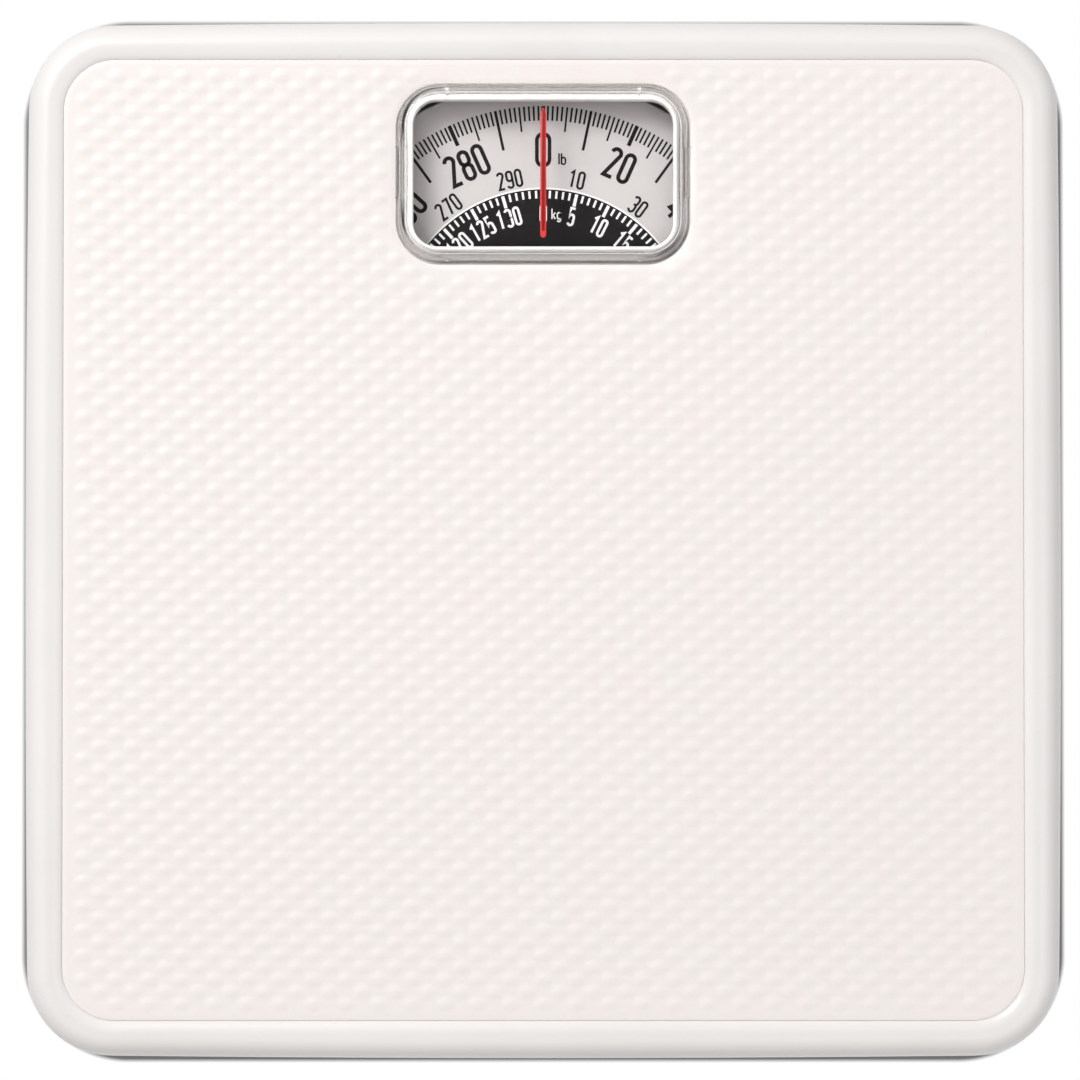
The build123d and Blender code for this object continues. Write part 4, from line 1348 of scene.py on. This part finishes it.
@dataclass
class Springs:
    """The springs of the scale, wound from round wire and stretched by the movement."""

    plate_y: float = 105 * MM
    hold_x: float = 114 * MM
    rack_x: float = 5.7 * MM
    rack_z: float = 31 * MM
    post_y: float = -10 * MM
    post_loop: float = 2.35 * MM

    def main(self) -> None:
        """Main spring between the plate's seat and the adjuster's arm."""
        coil = Coil(6 * MM, 0.95 * MM, 5.5, 19.45 * MM, 31.7 * MM, 28)
        path = [(x, y + self.plate_y, z) for x, y, z in coil.path()]
        skin = tube(path, coil.wire, 12)
        piece = add_piece("main_coil", skin.points, skin.faces, Finishes.SPRING, "",
                          ["main_spring"], Kind.SMOOTH)
        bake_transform(piece)

    def hold_down(self, side: int, name: str) -> None:
        """Spring between a lug of the cover and a lug of the pan."""
        coil = Coil(3.6 * MM, 0.5 * MM, 17, 10.6 * MM, 36.9 * MM, 18)
        middle = coil.path()
        first, last = middle[0], middle[-1]
        eye_low = [(0, 0, 8.2 * MM), (0, 0, 9.2 * MM), (first[0] * 0.45, 0, 10.4 * MM)]
        eye_high = [(last[0] * 0.45, last[1] * 0.45, 37.1 * MM), (0, 0, 38.3 * MM), (0, 0, 39.4 * MM)]
        path = [(x + side * self.hold_x, y, z) for x, y, z in eye_low + middle + eye_high]
        skin = tube(path, coil.wire, 9)
        piece = add_piece("hold_down_coil_" + name, skin.points, skin.faces, Finishes.SPRING, "",
                          ["hold_down_spring_" + name], Kind.SMOOTH)
        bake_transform(piece)

    def rack(self) -> None:
        """Return spring from its post to the front of the rack."""
        coil = Coil(2.3 * MM, 0.3 * MM, 30, -5.6 * MM, 30.2 * MM, 16)
        turns = [math.radians(a) for a in range(-230, 61, 15)]
        loop = self.post_loop
        ring = [(loop * math.cos(a), self.post_y + loop * math.sin(a), 0.0) for a in turns]
        middle = [(x, z, -y) for x, y, z in coil.path()]
        path = ring + [(1.9 * MM, -6.9 * MM, 0.0), (2.2 * MM, -6.0 * MM, 0.0)] + middle
        path += [(1.2 * MM, 30.9 * MM, 0.2 * MM), (0.2 * MM, 31.4 * MM, 0.1 * MM), (0.0, 32.05 * MM, 0.0)]
        skin = tube([(x + self.rack_x, y, z + self.rack_z) for x, y, z in path], coil.wire, 8)
        piece = add_piece("rack_coil", skin.points, skin.faces, Finishes.SPRING, "",
                          ["rack_spring"], Kind.SMOOTH)
        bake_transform(piece)

    def build(self) -> None:
        """Make every spring."""
        self.main()
        self.rack()
        self.hold_down(-1, "left")
        self.hold_down(1, "right")


@dataclass
class Feet:
    """Rubber feet with a grooved tread and a barb through the pan."""

    inset: float = 112 * MM

    def build(self) -> None:
        """Make the four feet."""
        tread = [(0.9, 0.7), (1.9, 0.7), (2.4, 0.0), (3.7, 0.0), (4.1, 0.7), (4.9, 0.7),
                 (5.3, 0.0), (6.6, 0.0)]
        flank = [(7.0, 0.45), (7.6, 0.5), (8.25, 0.75), (8.75, 1.25), (8.98, 1.9), (9.0, 3.2), (8.85, 3.75)]
        barb = [(8.5, 4.0), (2.5, 4.0), (2.5, 5.0), (3.35, 5.0), (3.5, 5.25), (3.3, 5.8),
                (2.6, 7.1), (2.0, 7.4)]
        for y_name, y in (("front", -self.inset), ("rear", self.inset)):
            for x_name, x in (("left", -self.inset), ("right", self.inset)):
                skin = lathe([(r * MM, z * MM) for r, z in tread + flank + barb], x, y)
                name = f"foot_{y_name}_{x_name}"
                add_piece("rubber_" + name, skin.points, skin.faces, Finishes.RUBBER, "base",
                          [name])


class Movement:
    """Everything that keeps its CAD shape: pan, levers, brackets, shaft, pinion, rack and dial."""

    WEAR = {"cover_enamel": Finishes.COVER, "mat": Finishes.MAT, "lens": Finishes.LENS,
            "pointer": Finishes.POINTER, "base_paint": Finishes.PAN, "dial_print": Finishes.FACE,
            "wheel_plastic": Finishes.WHEEL, "brass": Finishes.BRASS, "spring_steel": Finishes.SPRING,
            "foot_rubber": Finishes.RUBBER, "zinc_steel": Finishes.ZINC}

    def dress(self) -> None:
        """Give each CAD node the finish of its material slot."""
        for row in frame["record"]["subparts"]:
            piece = frame["nodes"][row["node"]]
            finish = self.WEAR[row["material_slot"]]
            piece.data.materials.clear()
            piece.data.materials.append(finish.material())
            LOG.info("%s: dressed in %s", row["node"], finish.name)


@dataclass
class Studio:
    """White floor and sky, a soft lamp from the rear left, and the camera above; a dark grey card close round
    the scale paints its contact shadow darker.
    """

    top: float = 46 * MM
    distance: float = 1.0
    elevation: float = math.radians(89)
    focal: float = 133.6
    shift_x: float = -3.2 / 1080
    shift_y: float = -1.0 / 1080
    sky: float = 0.57
    lamp: float = 15.0
    zenith: float = 0.07
    half: float = 130 * MM
    corner: float = 22 * MM
    # Band round the scale's foot where the camera sees the dark grey card: a painted contact shadow.
    shadow_reach: Flat = (4.95 * MM, 6.0 * MM)
    shadow_shift: float = 0.4 * MM
    # Dark grey floor colour: painted shadow in the band round the scale. It also dims the light that the
    # floor bounces onto the scale's sides.
    card: Colour = (0.3, 0.3, 0.3)
    white: Colour = (1.0, 1.0, 1.0)
    floor_half: float = 3.0
    key_place: Point = (-0.75, 0.85, 1.3)
    key_size: float = 0.7
    fill_place: Point = (0.9, -0.6, 1.6)
    fill_size: float = 1.4
    fill_share: float = 0.25

    def camera(self) -> None:
        """Place the camera at the photograph's viewing angle."""
        data = bpy.data.cameras.new("camera")
        data.lens = self.focal
        data.sensor_width = 36.0
        data.clip_start = 0.01
        data.shift_x = self.shift_x
        data.shift_y = self.shift_y
        view = bpy.data.objects.new("camera", data)
        aim = Vector((0, 0, self.top))
        away = Vector((0, -math.cos(self.elevation), math.sin(self.elevation)))
        view.location = aim + away * self.distance
        view.rotation_euler = (math.pi / 2 - self.elevation, 0, 0)
        bpy.context.scene.collection.objects.link(view)
        bpy.context.scene.camera = view

    def light(self, name: str, place: Point, size: float, power: float) -> None:
        """Place a square soft lamp that looks at the scale."""
        data = bpy.data.lights.new(name, "AREA")
        data.size = size
        data.energy = power
        lamp = bpy.data.objects.new(name, data)
        lamp.location = place
        lamp.rotation_euler = (Vector((0, 0, self.top)) - Vector(place)).to_track_quat("-Z", "Y").to_euler()
        bpy.context.scene.collection.objects.link(lamp)

    @staticmethod
    def seen(tree: Tree) -> Signal:
        """One for rays that show the background, straight or by a reflection."""
        path = tree.add("ShaderNodeLightPath")
        names = ("Is Camera Ray", "Is Glossy Ray", "Is Transmission Ray")
        rays = [Signal(tree, path.outputs[name]) for name in names]
        return (rays[0] + rays[1] + rays[2]).at_most(1.0)

    def world(self) -> None:
        """White sky that lights softly and shows as white."""
        world = bpy.data.worlds.new("sky")
        bpy.context.scene.world = world
        tree = Tree(world)
        rise = tree.axis(tree.out("ShaderNodeTexCoord", name="Generated"), "Z")
        dome = tree.ramp(rise, 0.945, 0.985, 1.0, self.zenith)
        glow = tree.out("ShaderNodeBackground", None, {"Color": self.white, "Strength": self.sky})
        white = tree.out("ShaderNodeBackground", None, {"Color": self.white, "Strength": dome})
        tree.finish(tree.out("ShaderNodeMixShader", None, {0: self.seen(tree), 1: glow, 2: white}),
                    "ShaderNodeOutputWorld")

    def floor(self) -> None:
        """White floor that keeps the scale's shadow; in a thin band round the scale it shows a dark grey
        card, a painted shadow darker than the white floor would give.
        """
        mesh = bpy.data.meshes.new("studio_floor")
        far = self.floor_half
        corners = [(-far, -far, 0), (far, -far, 0), (far, far, 0), (-far, far, 0)]
        mesh.from_pydata(corners, [], [(0, 1, 2, 3)])
        floor = bpy.data.objects.new("studio_floor", mesh)
        bpy.context.scene.collection.objects.link(floor)
        material = bpy.data.materials.new("studio_floor")
        tree = Tree(material)
        place = tree.place()
        inset = self.half - self.corner
        folded = [(tree.out("ShaderNodeMath", {"operation": "ABSOLUTE"}, {0: tree.axis(place, axis) - middle})
                   - inset).at_least(0.0) for axis, middle in (("X", 0.0), ("Y", self.shadow_shift))]
        away = (folded[0] * folded[0] + folded[1] * folded[1]) ** 0.5 - self.corner
        # Painted shadow: inside the band the dark grey card shows instead of the white floor.
        clear = tree.ramp(away, self.shadow_reach[0], self.shadow_reach[1], 0.0, 1.0)
        card = tree.surface({"Base Color": self.card, "Roughness": 0.8})
        white = tree.out("ShaderNodeEmission", None, {"Color": self.white, "Strength": 1.0})
        shown = self.seen(tree) * clear
        sheet = tree.out("ShaderNodeMixShader", None, {0: shown, 1: card, 2: white}, "Shader")
        below = tree.out("ShaderNodeNewGeometry", name="Backfacing")
        gone = tree.out("ShaderNodeBsdfTransparent", None, {}, "BSDF")
        tree.finish(tree.out("ShaderNodeMixShader", None, {0: below, 1: sheet, 2: gone}, "Shader"))
        mesh.materials.append(material)

    def build(self) -> None:
        """Set up the whole studio."""
        bpy.context.scene.view_settings.view_transform = "Standard"
        self.camera()
        self.light("key_lamp", self.key_place, self.key_size, self.lamp)
        self.light("fill_lamp", self.fill_place, self.fill_size, self.lamp * self.fill_share)
        self.world()
        self.floor()


def main() -> None:
    """Build the scale and its studio."""
    logging.basicConfig(level=logging.INFO, format="%(name)s: %(message)s")
    Studio().build()
    Movement().dress()
    Cover().build()
    PebbledMat().build()
    LensCap().build()
    DialPrint().build()
    Springs().build()
    Feet().build()


if __name__ == "__main__":
    main()
